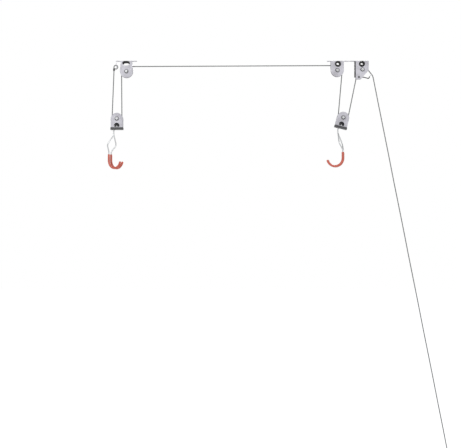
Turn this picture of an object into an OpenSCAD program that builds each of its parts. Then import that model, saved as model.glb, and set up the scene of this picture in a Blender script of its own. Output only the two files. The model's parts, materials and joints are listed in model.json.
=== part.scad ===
// Ceiling hoist for a bicycle: one rope runs from a rear ceiling bracket down round
// a rear hook block, along the ceiling, down round a front hook block, over the lock
// sheave, past a toothed cam and out through the lever's eye to a cleat on the wall.
// Millimetres. The origin is on the ceiling, midway between the front bracket's screws.
// +X runs from the rear bracket to the front one, +Y into the picture, +Z up.

/* [Layout] */
// Distance along the ceiling between the rear and front sheave axles
axle_span = 843; // [700:1:1200]
// Front sheave axle's distance behind the front screw pattern's centre
front_axle_back = 7; // [4:0.5:12]
// Depth of the rear sheave axle below the ceiling
rear_axle_drop = 42; // [40:0.5:46]
// Depth of the front sheave axle below the ceiling
front_axle_drop = 38; // [37:0.5:42]
// Drop from a ceiling sheave's axle to the axle of the block below it
block_drop = 189; // [165:1:560]
// Rear hook block's distance behind the rear sheave axle
rear_block_back = 38; // [30:1:44]
// Front hook block's distance ahead of the front sheave axle
front_block_ahead = 23; // [18:1:28]
// Tilt of the front hook block as it hangs
front_block_tilt = 14; // [0:1:14]

/* [Rope] */
// Rope diameter
rope_d = 4; // [3.5:0.1:4.2]
// Clearance between the rope and the groove that it lies in
rope_clear = 0.3; // [0.2:0.05:0.4]

/* [Sheaves] */
// Outer diameter of the bracket and block sheaves
sheave_d = 44.5; // [42:0.5:46]
// Outer diameter of the lock's smaller sheave
lock_sheave_d = 39.5; // [37:0.5:41]
// Width of a sheave
sheave_w = 12; // [11:0.5:13]
// Depth of a sheave's groove below its rim
groove_depth = 4.85; // [4.4:0.05:5.4]
// Width of a groove's mouth at the rim
groove_mouth = 8.4; // [7.6:0.1:9]
// Outer diameter of the bush pressed into a sheave
bush_d = 12; // [11:0.5:13]
// Diameter of a bush's end flange
bush_flange_d = 16; // [15:0.5:18]
// Depth of the ring pressed into each side of a sheave
sheave_recess = 1.5; // [0.5:0.1:2.5]

/* [Fasteners] */
// Diameter of the axle bolts
axle_d = 6; // [5:0.1:7]
// Radial clearance of a bolt or pin in its hole
running_clear = 0.05; // [0.02:0.01:0.1]
// Width across flats of a bolt head or nut
hex_flats = 10; // [9:0.5:12]
// Thickness of a nut
nut_t = 5; // [4:0.5:6]
// Thickness of a bolt head
head_t = 4; // [3:0.5:5]
// How far a bolt's end stands out of its nut
bolt_proud = 1.5; // [0.5:0.5:3]
// Washer diameter
washer_d = 16; // [13:0.5:18]
// Washer thickness
washer_t = 1.2; // [0.8:0.1:1.6]

/* [Ceiling brackets] */
// Thickness of the brackets' sheet
sheet_t = 2; // [1.5:0.1:2.5]
// Inside width between a bracket's cheeks
bracket_gap = 16; // [15:0.5:18]
// Outer radius of a bracket's folds
fold_r = 3; // [2.6:0.1:4]
// Sheet left round a sheave by the cheek's round end
cheek_margin = 3.5; // [2.5:0.5:5]
// Thickness of the raised boss round each axle hole
boss_t = 0.8; // [0.4:0.1:1.2]
// Diameter of the raised boss
boss_d = 20; // [18:1:21]
// Diameter of the ceiling screw holes
screw_hole_d = 5.5; // [4.5:0.5:6.5]
// Distance between the front bracket's screw holes
front_screw_pitch = 82; // [80:1:86]
// Distance between the rear bracket's screw holes
rear_screw_pitch = 66; // [64:1:70]
// Sheet left past a screw hole's centre at a plate's end
plate_end = 7; // [5:0.5:8]
// Length of the rear bracket's rope tab below the ceiling
tab_drop = 26; // [24:0.5:28]
// Width of the rope tab
tab_w = 14; // [12:1:18]
// Diameter of the tab's rope hole
tab_hole_d = 6.4; // [6:0.1:7]
// Length of the rear window
rear_window_w = 23; // [20:0.5:26]
// Height of the rear window
rear_window_h = 12; // [9:0.5:13]
// Bore of the front grommet
front_grommet_bore = 11.4; // [9:0.2:13]
// Bore of the lock's grommet
lock_grommet_bore = 10.4; // [8:0.2:11]
// Outer diameter of the grommets
grommet_d = 24; // [22:0.2:24.6]

/* [Rope lock] */
// Distance from the front screw pattern's centre to the lock sheave's axle
lock_axle_ahead = 93; // [91:0.5:95]
// Depth of the lock sheave's axle below the ceiling
lock_axle_drop = 35; // [34:0.5:37]
// Left edge of the lock's cheeks
lock_left = 66; // [65:0.5:67]
// Right edge of the lock's cheeks
lock_right = 118; // [116:0.5:122]
// Depth of the lock's cheeks
lock_drop = 73; // [71:0.5:76]
// Thickness of the upright anvil plate
anvil_t = 3; // [2:0.1:3.5]
// Depth of the anvil plate
anvil_drop = 66; // [64:0.5:69]
// Width of the anvil's gripping pad
pad_w = 10; // [8:0.5:12]
// Distance along the ceiling to the cam's pivot
cam_ahead = 79; // [78:0.5:80]
// Depth of the cam's pivot below the ceiling
cam_drop = 65; // [64:0.5:66]
// Diameter of the cam's pivot pin
cam_pin_d = 5; // [4:0.1:5.4]
// Width of the cam
cam_w = 7; // [6:0.5:8]
// Radius of the cam's toothed lobe
cam_lobe_r = 5.3; // [4.8:0.1:5.4]
// Diameter of the lever's arm
arm_d = 4; // [3:0.5:5]
// Wire diameter of the lever's rope eye
eye_wire_d = 2.6; // [2:0.1:3]
// Inside width of the rope eye
eye_gap = 7.8; // [7:0.1:8.6]
// Wire diameter of the cam's spring
spring_wire_d = 1.2; // [0.8:0.1:1.3]
// Full turns of the cam's spring
spring_turns = 3; // [2:1:3]

/* [Hook blocks] */
// Thickness of a block's strap
strap_t = 2.5; // [2:0.1:3]
// Inside width between a block's cheeks
block_gap = 22; // [21.6:0.1:24]
// Length of a block along the bicycle
block_l = 48.4; // [47:0.2:52]
// Height of a block's top above its axle
block_top = 23; // [22.6:0.2:26]
// Depth of a block's folded floor below its axle
block_floor = 37.5; // [37:0.5:42]
// Thickness of the dark shoe under the floor
base_t = 7; // [4:0.5:8]
// Radius of the half-moon window
window_r = 11; // [9:0.5:12]
// Depth of the half-moon window's centre below the axle
window_drop = 28; // [27:0.5:29]
// Depth of the half-moon window's flat edge below the axle
window_floor = 33; // [31:0.5:33]
// Distance of the hooks' holes behind the block's centre
hook_back = 13; // [12.6:0.1:14]
// Distance between a block's two hooks
hook_pitch = 10.6; // [10.4:0.1:11]
// Diameter of the holes that the hooks hang in
hook_hole_d = 8.4; // [8:0.1:8.8]

/* [Hooks] */
// Hook wire diameter
wire_d = 5; // [4:0.1:5.2]
// Diameter of a hook's ball head
ball_d = 10; // [9.6:0.1:10.2]
// Diameter of the soft coat
coat_d = 8.6; // [7.5:0.1:9]
// Radius of the hook's open end
hook_r = 32; // [28:1:36]
// Length of a hook from its ball to the bottom of its bend
hook_drop = 166; // [155:1:200]
// Turn of the rear hooks from the bicycle's line
rear_hook_yaw = -40; // [-45:1:-20]
// Turn of the front hooks from the bicycle's line
front_hook_yaw = 160; // [150:1:180]

/* [Wall cleat] */
// Diameter of the cleat's stem
stem_d = 16; // [14:0.5:16.4]
// Length of the cleat from horn tip to horn tip
cleat_l = 108; // [100:1:112]
// Thickness of the cleat's foot
foot_t = 6; // [5:0.5:8]
// Width of the cleat's foot
foot_w = 22; // [20:1:30]
// Distance between the cleat's screw holes
cleat_screw_pitch = 54; // [50:1:60]
// Diameter of the cleat's screw holes
cleat_hole_d = 5; // [4:0.5:5.5]

/* [Hidden] */
$fn = 48;

// One overrun serves every cut
over = 1;
// Clearance where two pieces rest near each other but may turn
seat_clear = 0.3;

// Rope and groove
rope_r = rope_d / 2;
rope_sides = 8;
arc_step = 12;
function pitch_r(d) = d / 2 - groove_depth + rope_clear + rope_r;
sheave_pitch = pitch_r(sheave_d);
lock_pitch = pitch_r(lock_sheave_d);

// Axle places as [x, z]
front_axle = [-front_axle_back, -front_axle_drop];
rear_axle = [front_axle[0] - axle_span, -rear_axle_drop];
lock_axle = [lock_axle_ahead, -lock_axle_drop];
rear_block = [rear_axle[0] - rear_block_back, rear_axle[1] - block_drop];
front_block = [front_axle[0] + front_block_ahead, front_axle[1] - block_drop];
cam_pivot = [cam_ahead, -cam_drop];
rear_block_tilt = 0;

// Plane geometry on [x, z] points
function turn(v, a) = [v[0] * cos(a) - v[1] * sin(a), v[0] * sin(a) + v[1] * cos(a)];
function unit(v) = v / norm(v);
function heading(v) = atan2(v[1], v[0]);
function polar(c, r, a) = [c[0] + r * cos(a), c[1] + r * sin(a)];
// Angle on circle a where a crossed tangent to circle b touches; side is 1 or -1
function crossed_angle(a, ra, b, rb, side) = heading(b - a) + side * acos((ra + rb) / norm(b - a));
// Angle on circle c where the tangent from point p touches; side is 1 or -1
function touch_angle(p, c, r, side) = heading(p - c) + side * acos(r / norm(p - c));
// Points along an arc, both ends included
function arc_points(c, r, a0, a1) =
  let (n = ceil(abs(a1 - a0) / arc_step))
  [for (i = [0:n]) polar(c, r, a0 + (a1 - a0) * i / n)];
function lift(points, y = 0) = [for (p = points) [p[0], y, p[1]]];

// Angles where the rope meets each sheave
rear_off = crossed_angle(rear_axle, sheave_pitch, rear_block, sheave_pitch, -1);
front_off = crossed_angle(front_axle, sheave_pitch, front_block, sheave_pitch, 1);
lock_on = crossed_angle(lock_axle, lock_pitch, front_block, sheave_pitch, -1) + 360;
span_up = heading(front_axle - rear_axle) + 90;
eye_point = [130, -53.4];
lock_out = touch_angle(eye_point, lock_axle, lock_pitch, 1);

// Tube swept along points: ref is a direction that the path never runs along
function tangents(p) =
  let (n = len(p) - 1)
  [for (i = [0:n]) unit(p[min(i + 1, n)] - p[max(i - 1, 0)])];
function ring(c, t, r, sides, ref) =
  let (u = unit(cross(ref, t)), v = cross(t, u))
  [for (k = [0:sides - 1]) c + r * (cos(360 * k / sides) * u + sin(360 * k / sides) * v)];
module tube(points, radii, sides, ref = [0, 1, 0], ends = []) {
  n = len(points);
  bare = tangents(points);
  dirs = len(ends) == 0 ? bare : concat([ends[0]], [for (i = [1:n - 2]) bare[i]], [ends[1]]);
  rings = [for (i = [0:n - 1])
    ring(points[i], dirs[i], is_list(radii) ? radii[i] : radii, sides, ref)];
  skin = [for (i = [0:n - 2]) for (k = [0:sides - 1])
    let (j = (k + 1) % sides) each [
      [(i + 1) * sides + j, i * sides + j, i * sides + k],
      [(i + 1) * sides + k, (i + 1) * sides + j, i * sides + k]]];
  start_cap = [[for (k = [0:sides - 1]) k]];
  end_cap = [[for (k = [sides - 1:-1:0]) (n - 1) * sides + k]];
  polyhedron([for (r = rings) each r], concat(start_cap, skin, end_cap), 4);
}
// Rounds a hand-chosen route with a Catmull-Rom curve of n steps a stretch
function curve_point(a, b, c, d, t) =
  0.5 * (2 * b + (c - a) * t + (2 * a - 5 * b + 4 * c - d) * t * t
    + (3 * b - a - 3 * c + d) * t * t * t);
function smooth(p, n) = let (m = len(p) - 1) concat(
  [for (i = [0:m - 1]) for (k = [0:n - 1])
    curve_point(p[max(i - 1, 0)], p[i], p[i + 1], p[min(i + 2, m)], k / n)],
  [p[m]]);
// Least distance between stretches of a wound tube at least apart points from each other
function self_gap(p, d, apart) =
  min([for (i = [0:len(p) - 1 - apart]) for (j = [i + apart:len(p) - 1]) norm(p[i] - p[j])]) - d;

// Round rod from point a to point b
module rod(a, b, r) {
  v = b - a;
  translate(a) rotate([0, acos(v[2] / norm(v)), atan2(v[1], v[0])]) cylinder(h = norm(v), r = r);
}

// Sheaves and bushes, drawn round their own axle
module sheave(d) {
  rim = d / 2;
  mid = pitch_r(d);
  groove_r = rope_r + rope_clear;
  recess_in = bush_flange_d / 2 + over;
  recess_out = rim - groove_depth - over;
  rotate([90, 0, 0]) rotate_extrude() difference() {
    translate([bush_d / 2 + running_clear, -sheave_w / 2])
      square([rim - bush_d / 2 - running_clear, sheave_w]);
    translate([mid, 0]) circle(groove_r);
    polygon([[mid, -groove_r], [rim + over, -groove_mouth / 2 - over / 2],
      [rim + over, groove_mouth / 2 + over / 2], [mid, groove_r]]);
    for (side = [-1, 1])
      translate([recess_in, side * (sheave_w / 2) - sheave_recess])
        square([recess_out - recess_in, 2 * sheave_recess]);
  }
}
module bush(gap) {
  flange_t = gap / 2 - seat_clear - sheave_w / 2;
  bore = axle_d / 2 + running_clear;
  end = sheave_w / 2 + flange_t;
  rotate([90, 0, 0]) rotate_extrude() polygon([
    [bore, -end], [bush_flange_d / 2, -end], [bush_flange_d / 2, -sheave_w / 2],
    [bush_d / 2, -sheave_w / 2], [bush_d / 2, sheave_w / 2],
    [bush_flange_d / 2, sheave_w / 2], [bush_flange_d / 2, end], [bore, end]]);
}

// Fasteners on an axle along Y, nut towards the viewer
module hexagon(t) {
  cylinder(h = t, d = hex_flats / cos(30), $fn = 6);
}
function stack_y(gap, t) = gap / 2 + t + boss_t;
module axle_bolt(gap, t) {
  head_y = stack_y(gap, t) + washer_t;
  end_y = stack_y(gap, t) + washer_t + nut_t + bolt_proud;
  rotate([90, 0, 0]) translate([0, 0, -head_y]) cylinder(h = head_y + end_y, d = axle_d);
  rotate([-90, 0, 0]) translate([0, 0, head_y]) hexagon(head_t);
}
module axle_washers(gap, t) {
  for (side = [0, 1]) mirror([0, side, 0]) rotate([90, 0, 0]) translate([0, 0, stack_y(gap, t)])
    difference() {
      cylinder(h = washer_t, d = washer_d);
      translate([0, 0, -over]) cylinder(h = washer_t + 2 * over, d = axle_d + 4 * running_clear);
    }
}
module axle_nut(gap, t) {
  rotate([90, 0, 0]) translate([0, 0, stack_y(gap, t) + washer_t]) difference() {
    hexagon(nut_t);
    translate([0, 0, -over]) cylinder(h = nut_t + 2 * over, d = axle_d + 2 * running_clear);
  }
}
module at(place, tilt = 0) {
  translate([place[0], 0, place[1]]) rotate([0, tilt, 0]) children();
}
// Extrudes an [x, z] outline along Y from y0 to y1
module slab(y0, y1) {
  translate([0, y1, 0]) rotate([90, 0, 0]) linear_extrude(y1 - y0) children();
}
// Hole or disc along Y
module hole_y(place, d, w) {
  at(place) rotate([90, 0, 0]) cylinder(h = w, d = d, center = true);
}

// Folded sheet: a channel open below, from x0 to x1, that a side outline is cut from
bracket_w = bracket_gap + 2 * sheet_t;
module channel(x0, x1, drop) {
  inner_r = fold_r - sheet_t;
  translate([x0, 0, 0]) rotate([90, 0, 90]) linear_extrude(x1 - x0) difference() {
    union() {
      translate([-bracket_w / 2, -drop]) square([bracket_w, drop - fold_r]);
      translate([-bracket_w / 2 + fold_r, -drop]) square([bracket_w - 2 * fold_r, drop]);
      for (side = [-1, 1]) translate([side * (bracket_w / 2 - fold_r), -fold_r]) circle(fold_r);
    }
    translate([-bracket_gap / 2, -drop - over])
      square([bracket_gap, drop + over - sheet_t - inner_r]);
    translate([-bracket_gap / 2 + inner_r, -drop - over])
      square([bracket_gap - 2 * inner_r, drop + over - sheet_t]);
    for (side = [-1, 1]) translate([side * (bracket_gap / 2 - inner_r), -sheet_t - inner_r])
      circle(inner_r);
  }
}
module bosses(place, gap, t) {
  for (side = [0, 1]) mirror([0, side, 0])
    at(place) rotate([90, 0, 0]) translate([0, 0, gap / 2 + t]) cylinder(h = boss_t, d = boss_d);
}

// Rear bracket
lobe_r = sheave_d / 2 + cheek_margin;
rear_plate_half = rear_screw_pitch / 2 + plate_end + 1.5 * over;
rear_neck_half_share = 0.87;
tab_x = rear_axle[0] - rear_plate_half;
tab_hole_z = -tab_drop + 9;
rear_window_lower = 1.8;
rear_window = [rear_axle[0] - over, -sheet_t - fold_r - rear_window_lower - rear_window_h / 2];
module rear_cheek_outline() {
  translate(rear_axle) circle(lobe_r, $fn = 96);
  polygon([
    [rear_axle[0] - rear_neck_half_share * lobe_r, -sheet_t / 2],
    [rear_axle[0] + rear_neck_half_share * lobe_r, -sheet_t / 2],
    polar(rear_axle, lobe_r, 8), polar(rear_axle, lobe_r, 172)]);
}
module stadium(place, w, h) {
  for (side = [-1, 1]) translate([place[0] + side * (w - h) / 2, place[1]]) circle(h / 2);
  translate([place[0] - (w - h) / 2, place[1] - h / 2]) square([w - h, h]);
}
module rear_bracket() {
  color([0.74, 0.73, 0.77]) {
    difference() {
      union() {
        intersection() {
          channel(tab_x, rear_axle[0] + rear_plate_half, rear_axle_drop + lobe_r);
          slab(-bracket_w, bracket_w) union() {
            translate([tab_x, -sheet_t]) square([2 * rear_plate_half, sheet_t]);
            rear_cheek_outline();
          }
        }
        bosses(rear_axle, bracket_gap, sheet_t);
        translate([tab_x, -tab_w / 2, -tab_drop]) cube([sheet_t, tab_w, tab_drop - fold_r]);
        translate([tab_x, -tab_w / 2, -fold_r - over])
          cube([sheet_t, tab_w, fold_r + over - sheet_t / 2]);
      }
      hole_y(rear_axle, axle_d + 2 * running_clear, 2 * bracket_w);
      slab(-bracket_w, bracket_w) stadium(rear_window, rear_window_w, rear_window_h);
      for (side = [-1, 1])
        translate([rear_axle[0] + side * rear_screw_pitch / 2, 0, -sheet_t - over])
          cylinder(h = sheet_t + 2 * over, d = screw_hole_d);
      translate([tab_x - over, 0, tab_hole_z]) rotate([0, 90, 0])
        cylinder(h = sheet_t + 2 * over, d = tab_hole_d);
    }
  }
}
// Black edging over the upper half of the rear bracket's windows
trim_lip = 3.4;
trim_inner_lip = 0.8;
trim_wall = 1.6;
trim_t = 0.9;
trim_rise = 2.4;
module trim_ring(y0, y1, lip, rise = 0) {
  slab(y0, y1) difference() {
    stadium(rear_window + [0, rise], rear_window_w + 2 * lip, rear_window_h + 2 * lip);
    stadium(rear_window, rear_window_w - 2 * trim_wall, rear_window_h - 2 * trim_wall);
    translate([rear_window[0] - rear_window_w, rear_window[1] - 2 * rear_window_h])
      square([2 * rear_window_w, 2 * rear_window_h]);
  }
}
module rear_window_trim() {
  color([0.03, 0.03, 0.03]) for (side = [0, 1]) mirror([0, side, 0]) {
    trim_ring(-bracket_w / 2 - trim_t, -bracket_w / 2, trim_lip, trim_rise);
    trim_ring(-bracket_w / 2, -bracket_gap / 2, -running_clear);
    trim_ring(-bracket_gap / 2, -bracket_gap / 2 + trim_t, trim_inner_lip);
  }
}

// Front bracket: pear-shaped cheeks for the sheave and square ones for the rope lock
front_plate_left = -front_screw_pitch / 2 - plate_end;
shoulder_x_share = 1.04;
shoulder_z_share = 0.62;
grommet_wall = 2.2;
grommet_inner_lip = 1.2;
grommet_lip_t = 1.2;
window_drop_below = 0.5;
front_window = [front_axle[0] + 2 * over, -grommet_d / 2 - window_drop_below];
lock_window = [lock_axle[0] - 2 * over, -grommet_d / 2 - window_drop_below];
front_window_d = front_grommet_bore + 2 * grommet_wall;
lock_window_d = lock_grommet_bore + 2 * grommet_wall;
module pear_outline() {
  translate(front_axle) circle(lobe_r, $fn = 96);
  polygon([
    [front_axle[0] - shoulder_x_share * lobe_r, -sheet_t / 2],
    [front_axle[0] + lobe_r, -sheet_t / 2],
    [front_axle[0] + lobe_r, front_axle[1]],
    [front_axle[0] - lobe_r, front_axle[1]],
    [front_axle[0] - shoulder_x_share * lobe_r, front_axle[1] * shoulder_z_share]]);
}
lock_corner_x_shares = [1, 0.62, 0.42, 0];
lock_corner_z_shares = [0.52, 0.83, 1, 1];
module lock_outline() {
  w = lock_right - lock_left;
  polygon(concat([[lock_left, -sheet_t / 2], [lock_right, -sheet_t / 2]],
    [for (i = [0:3])
      [lock_left + w * lock_corner_x_shares[i], -lock_drop * lock_corner_z_shares[i]]]));
}
module front_bracket() {
  color([0.76, 0.75, 0.79]) difference() {
    union() {
      intersection() {
        channel(front_plate_left, lock_right, lock_drop);
        slab(-bracket_w, bracket_w) union() {
          translate([front_plate_left, -sheet_t])
            square([lock_right - front_plate_left, sheet_t]);
          pear_outline();
          lock_outline();
        }
      }
      bosses(front_axle, bracket_gap, sheet_t);
      bosses(lock_axle, bracket_gap, sheet_t);
    }
    hole_y(front_axle, axle_d + 2 * running_clear, 2 * bracket_w);
    hole_y(lock_axle, axle_d + 2 * running_clear, 2 * bracket_w);
    hole_y(cam_pivot, cam_pin_d + 2 * running_clear, 2 * bracket_w);
    hole_y(front_window, front_window_d, 2 * bracket_w);
    hole_y(lock_window, lock_window_d, 2 * bracket_w);
    for (side = [-1, 1]) translate([side * front_screw_pitch / 2, 0, -sheet_t - over])
      cylinder(h = sheet_t + 2 * over, d = screw_hole_d);
  }
}
module grommet(place, bore, window_d) {
  round_r = grommet_lip_t / 2;
  lips = [[sheet_t, grommet_d / 2], [-grommet_lip_t, window_d / 2 + grommet_inner_lip]];
  at(place) rotate([90, 0, 0]) translate([0, 0, bracket_gap / 2]) rotate_extrude() {
    translate([bore / 2, -grommet_lip_t / 2])
      square([(window_d - bore) / 2 - running_clear, sheet_t + grommet_lip_t]);
    for (lip = lips) {
      translate([bore / 2, lip[0]]) square([lip[1] - bore / 2 - round_r, grommet_lip_t]);
      translate([lip[1] - round_r, lip[0] + round_r]) circle(round_r, $fn = 24);
    }
  }
}
module window_grommets() {
  color([0.02, 0.02, 0.02]) for (side = [0, 1]) mirror([0, side, 0]) {
    grommet(front_window, front_grommet_bore, front_window_d);
    grommet(lock_window, lock_grommet_bore, lock_window_d);
  }
}

// Rope lock: upright anvil plate whose lower pad lies along the falling rope
lock_top_point = polar(lock_axle, lock_pitch, lock_on);
lock_low_point = polar(front_block, -sheave_pitch, lock_on);
function rope_x(z) = lock_top_point[0] + (z - lock_top_point[1])
  * (lock_low_point[0] - lock_top_point[0]) / (lock_low_point[1] - lock_top_point[1]);
rope_lean = abs(heading(lock_top_point - lock_low_point) - 90);
function rope_left(z) = rope_x(z) - (rope_r + seat_clear) / cos(rope_lean);
anvil_right = lock_left - 1.5 * over;
pad_top_share = 0.78;
pad_ramp_share = 0.68;
pad_teeth = 5;
pad_tooth_d = 1.2;
module lock_anvil_plate() {
  pad_top = -anvil_drop * pad_top_share;
  pad_low = -anvil_drop + pad_tooth_d;
  color([0.2, 0.2, 0.21]) {
    difference() {
      union() {
        translate([anvil_right - anvil_t, -bracket_w / 2, -anvil_drop])
          cube([anvil_t, bracket_w, anvil_drop - sheet_t]);
        slab(-pad_w / 2, pad_w / 2) polygon([
          [anvil_right - anvil_t / 2, -anvil_drop * pad_ramp_share],
          [anvil_right, -anvil_drop * pad_ramp_share],
          [rope_left(pad_top), pad_top],
          [rope_left(pad_low), pad_low],
          [anvil_right - anvil_t / 2, pad_low]]);
      }
      for (i = [0:pad_teeth - 1]) let (z = pad_top + (pad_low - pad_top) * (i + 0.5) / pad_teeth)
        at([rope_left(z), z]) rotate([90, 0, 0]) rotate([0, 0, 45])
          cube([pad_tooth_d, pad_tooth_d, 2 * pad_w], center = true);
    }
  }
}

// Toothed cam with its arm; the lobe stands towards the rope
lobe_offset = 3;
lobe_heading = 115;
cam_hub_r = 5;
cam_teeth = 6;
tooth_first = 118;
tooth_last = 200;
cam_tooth_d = 0.8;
eye_centre = [128, -56];
eye_heading = 47;
eye_half = 1.7;
eye_reach = eye_half + eye_gap / 2 + eye_wire_d;
cam_y0 = -cam_w + over;
cam_mid_y = cam_y0 + cam_w / 2;
arm_touch = 0.03;
arm_foot = polar(eye_centre - cam_pivot, -eye_reach - arm_touch, eye_heading);
arm_low = arm_d / 2 + 0.6;
arm_route = [[0, cam_mid_y, -2], [10, cam_mid_y, -0.5], [22, cam_mid_y, -0.8],
  [34, cam_mid_y, -4], [40, cam_mid_y / 2, -3.8], [arm_foot[0], 0, arm_foot[1]]];
module cam_lever() {
  lobe = polar([0, 0], lobe_offset, lobe_heading);
  route = smooth(arm_route, 4);
  color([0.17, 0.17, 0.18]) at(cam_pivot) difference() {
    union() {
      slab(cam_y0, cam_y0 + cam_w) circle(cam_hub_r);
      slab(cam_y0, cam_y0 + cam_w) translate(lobe) circle(cam_lobe_r);
      tube(route, arm_d / 2, 16,
        ends = [unit(route[1] - route[0]), [cos(eye_heading), 0, sin(eye_heading)]]);
    }
    for (i = [0:cam_teeth - 1]) let (
        a = tooth_first + (tooth_last - tooth_first) * i / (cam_teeth - 1),
        root = polar(lobe, cam_lobe_r, a))
      at(root, 45 - a) cube([cam_tooth_d, 4 * cam_w, cam_tooth_d], center = true);
    rotate([90, 0, 0]) cylinder(h = 4 * cam_w, d = cam_pin_d + 2 * running_clear, center = true);
  }
}
// Long rope eye of round wire at the arm's end
module lever_eye() {
  bend_r = (eye_gap + eye_wire_d) / 2;
  color([0.75, 0.75, 0.76]) translate([eye_centre[0], 0, eye_centre[1]])
    rotate([0, -eye_heading, 0]) {
      for (side = [-1, 1]) {
        translate([side * eye_half, 0, 0]) rotate([0, 0, side * 90 - 90])
          rotate([0, 0, -90]) rotate_extrude(angle = 180)
            translate([bend_r, 0]) circle(d = eye_wire_d, $fn = 24);
        translate([-eye_half, side * bend_r, 0]) rotate([0, 90, 0])
          cylinder(h = 2 * eye_half, d = eye_wire_d, $fn = 24);
      }
    }
}
module cam_pivot_pin() {
  head_w = 1.5 * sheet_t;
  head_h = sheet_t * 0.75;
  color([0.25, 0.25, 0.25]) at(cam_pivot) {
    rotate([90, 0, 0]) cylinder(h = bracket_w + 2 * running_clear, d = cam_pin_d, center = true);
    for (side = [0, 1]) mirror([0, side, 0]) rotate([90, 0, 0])
      translate([0, 0, bracket_w / 2 + running_clear])
        cylinder(h = head_h, d1 = cam_pin_d + head_w, d2 = cam_pin_d);
  }
}
// Torsion spring: a leg under the arm, turns round the pin, a leg against the anvil
spring_r = 4.2;
spring_pitch = spring_wire_d + 0.45 * over;
spring_rings = 8;
spring_y0 = cam_y0 + cam_w + spring_wire_d / 2 + 0.2 * over;
spring_arm_reach = 11;
spring_leg_up = 7;
function spring_path() = let (
    turns = spring_turns + 0.25,
    n = ceil(turns * spring_rings),
    start_a = -90,
    under_z = -arm_low - spring_wire_d / 2 - seat_clear,
    coil = [for (i = [0:n]) let (a = start_a - 360 * turns * i / n)
      [spring_r * cos(a), spring_y0 + spring_pitch * turns * i / n, spring_r * sin(a)]],
    last_y = spring_y0 + spring_pitch * turns,
    wall = anvil_right + seat_clear - cam_pivot[0])
  concat([
      [spring_arm_reach, cam_y0 + spring_wire_d, under_z],
      [spring_arm_reach, cam_y0 + 2 * spring_wire_d, under_z],
      [spring_arm_reach, spring_y0 - 2 * spring_wire_d, under_z],
      [spring_arm_reach - spring_wire_d, spring_y0 - spring_wire_d / 2, under_z],
      [spring_r, spring_y0, -spring_r - spring_wire_d / 3]],
    coil,
    [[-spring_r, last_y, spring_leg_up - 2 * spring_wire_d],
      [-spring_r - spring_wire_d, last_y, spring_leg_up],
      [wall + 2 * spring_wire_d, last_y, spring_leg_up],
      [wall + spring_wire_d, last_y, spring_leg_up],
      [wall, last_y, spring_leg_up]]);
spring_points = spring_path();
echo(cam_spring_self_gap = self_gap(spring_points, spring_wire_d, 6));
module cam_spring() {
  color([0.62, 0.62, 0.64]) at(cam_pivot)
    tube(spring_points, spring_wire_d / 2, 6, ref = [0.12, 1, 0.31]);
}

// Rope's end: a loop through the rear bracket's tab with its knot below
anchor_loop_r = 7.5;
knot_r_share = 1.05;
knot_turns = 3;
knot_pitch_share = 0.95;
knot_drop_share = 0.55;
anchor_centre = [tab_x + sheet_t / 2 - 2 * over, tab_hole_z - anchor_loop_r];
rear_anchor_x = anchor_centre[0] - anchor_loop_r;
knot_top = anchor_centre[1] - anchor_loop_r * knot_drop_share;
knot_floor = knot_top - knot_turns * rope_d * knot_pitch_share;
module knot_wraps(turns) {
  rotate_extrude() {
    for (i = [0:turns - 1]) translate([rope_r * knot_r_share, -(i + 0.5) * rope_d * knot_pitch_share])
      circle(rope_r * knot_pitch_share, $fn = 24);
    translate([0, -turns * rope_d * knot_pitch_share])
      square([rope_r * knot_r_share, turns * rope_d * knot_pitch_share]);
  }
}
rope_colour = [0.33, 0.34, 0.33];
module rope_anchor_loop() {
  color(rope_colour) {
    at(anchor_centre) rotate([90, 0, 0]) rotate_extrude()
      translate([anchor_loop_r, 0]) circle(rope_r, $fn = 24);
    translate([rear_anchor_x, 0, knot_top]) knot_wraps(knot_turns);
  }
}

// The rope's stretches, in order from the anchor to the cleat
rear_in_left = touch_angle([rear_anchor_x, knot_floor], rear_block, sheave_pitch, 1);
rear_left_touch = polar(rear_block, sheave_pitch, rear_in_left);
rear_right_touch = polar(rear_block, -sheave_pitch, rear_off);
rear_top_touch = polar(rear_axle, sheave_pitch, rear_off);
front_top_touch = polar(front_axle, sheave_pitch, front_off);
front_left_touch = polar(front_block, -sheave_pitch, front_off);
// A straight fall between two [x, z] points, its ends square to itself
module fall(a, b) {
  color(rope_colour) tube(lift([a, b]), rope_r, rope_sides);
}
module rear_fall_left() {
  fall([rear_anchor_x, knot_floor], rear_left_touch);
}
module rear_rope_bight() {
  color(rope_colour) bight(rear_block, rear_in_left, rear_off + 180);
}
module rear_fall_right() {
  fall(rear_right_touch, rear_top_touch);
}
// Rope under a block's sheave from angle a0 on the left round to a1 on the right
module bight(place, a0, a1) {
  from = (a0 + 360) % 360;
  to = 270 + ((a1 - 270) % 360 + 360) % 360;
  points = lift(arc_points(place, sheave_pitch, from, to));
  tube(points, rope_r, rope_sides,
    ends = [[-sin(from), 0, cos(from)], [-sin(to), 0, cos(to)]]);
}
module rope_span() {
  over_rear = arc_points(rear_axle, sheave_pitch, (rear_off + 360) % 360, span_up);
  over_front = arc_points(front_axle, sheave_pitch, span_up, front_off);
  n = (rear_off + 360) % 360;
  color(rope_colour) tube(lift(concat(over_rear, over_front)), rope_r, rope_sides,
    ends = [[sin(n), 0, -cos(n)], [sin(front_off), 0, -cos(front_off)]]);
}
module front_fall_left() {
  fall(front_top_touch, front_left_touch);
}
module front_rope_bight() {
  color(rope_colour) bight(front_block, front_off + 180, lock_on + 180);
}
module front_fall_right() {
  fall(lock_low_point, lock_top_point);
}
module rope_lock_run() {
  wrap = arc_points(lock_axle, lock_pitch, lock_on % 360, lock_out);
  run = unit(eye_point - polar(lock_axle, lock_pitch, lock_out));
  color(rope_colour) tube(lift(concat(wrap, [eye_point])), rope_r, rope_sides,
    ends = [[sin(lock_on), 0, -cos(lock_on)], [run[0], 0, run[1]]]);
}

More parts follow.
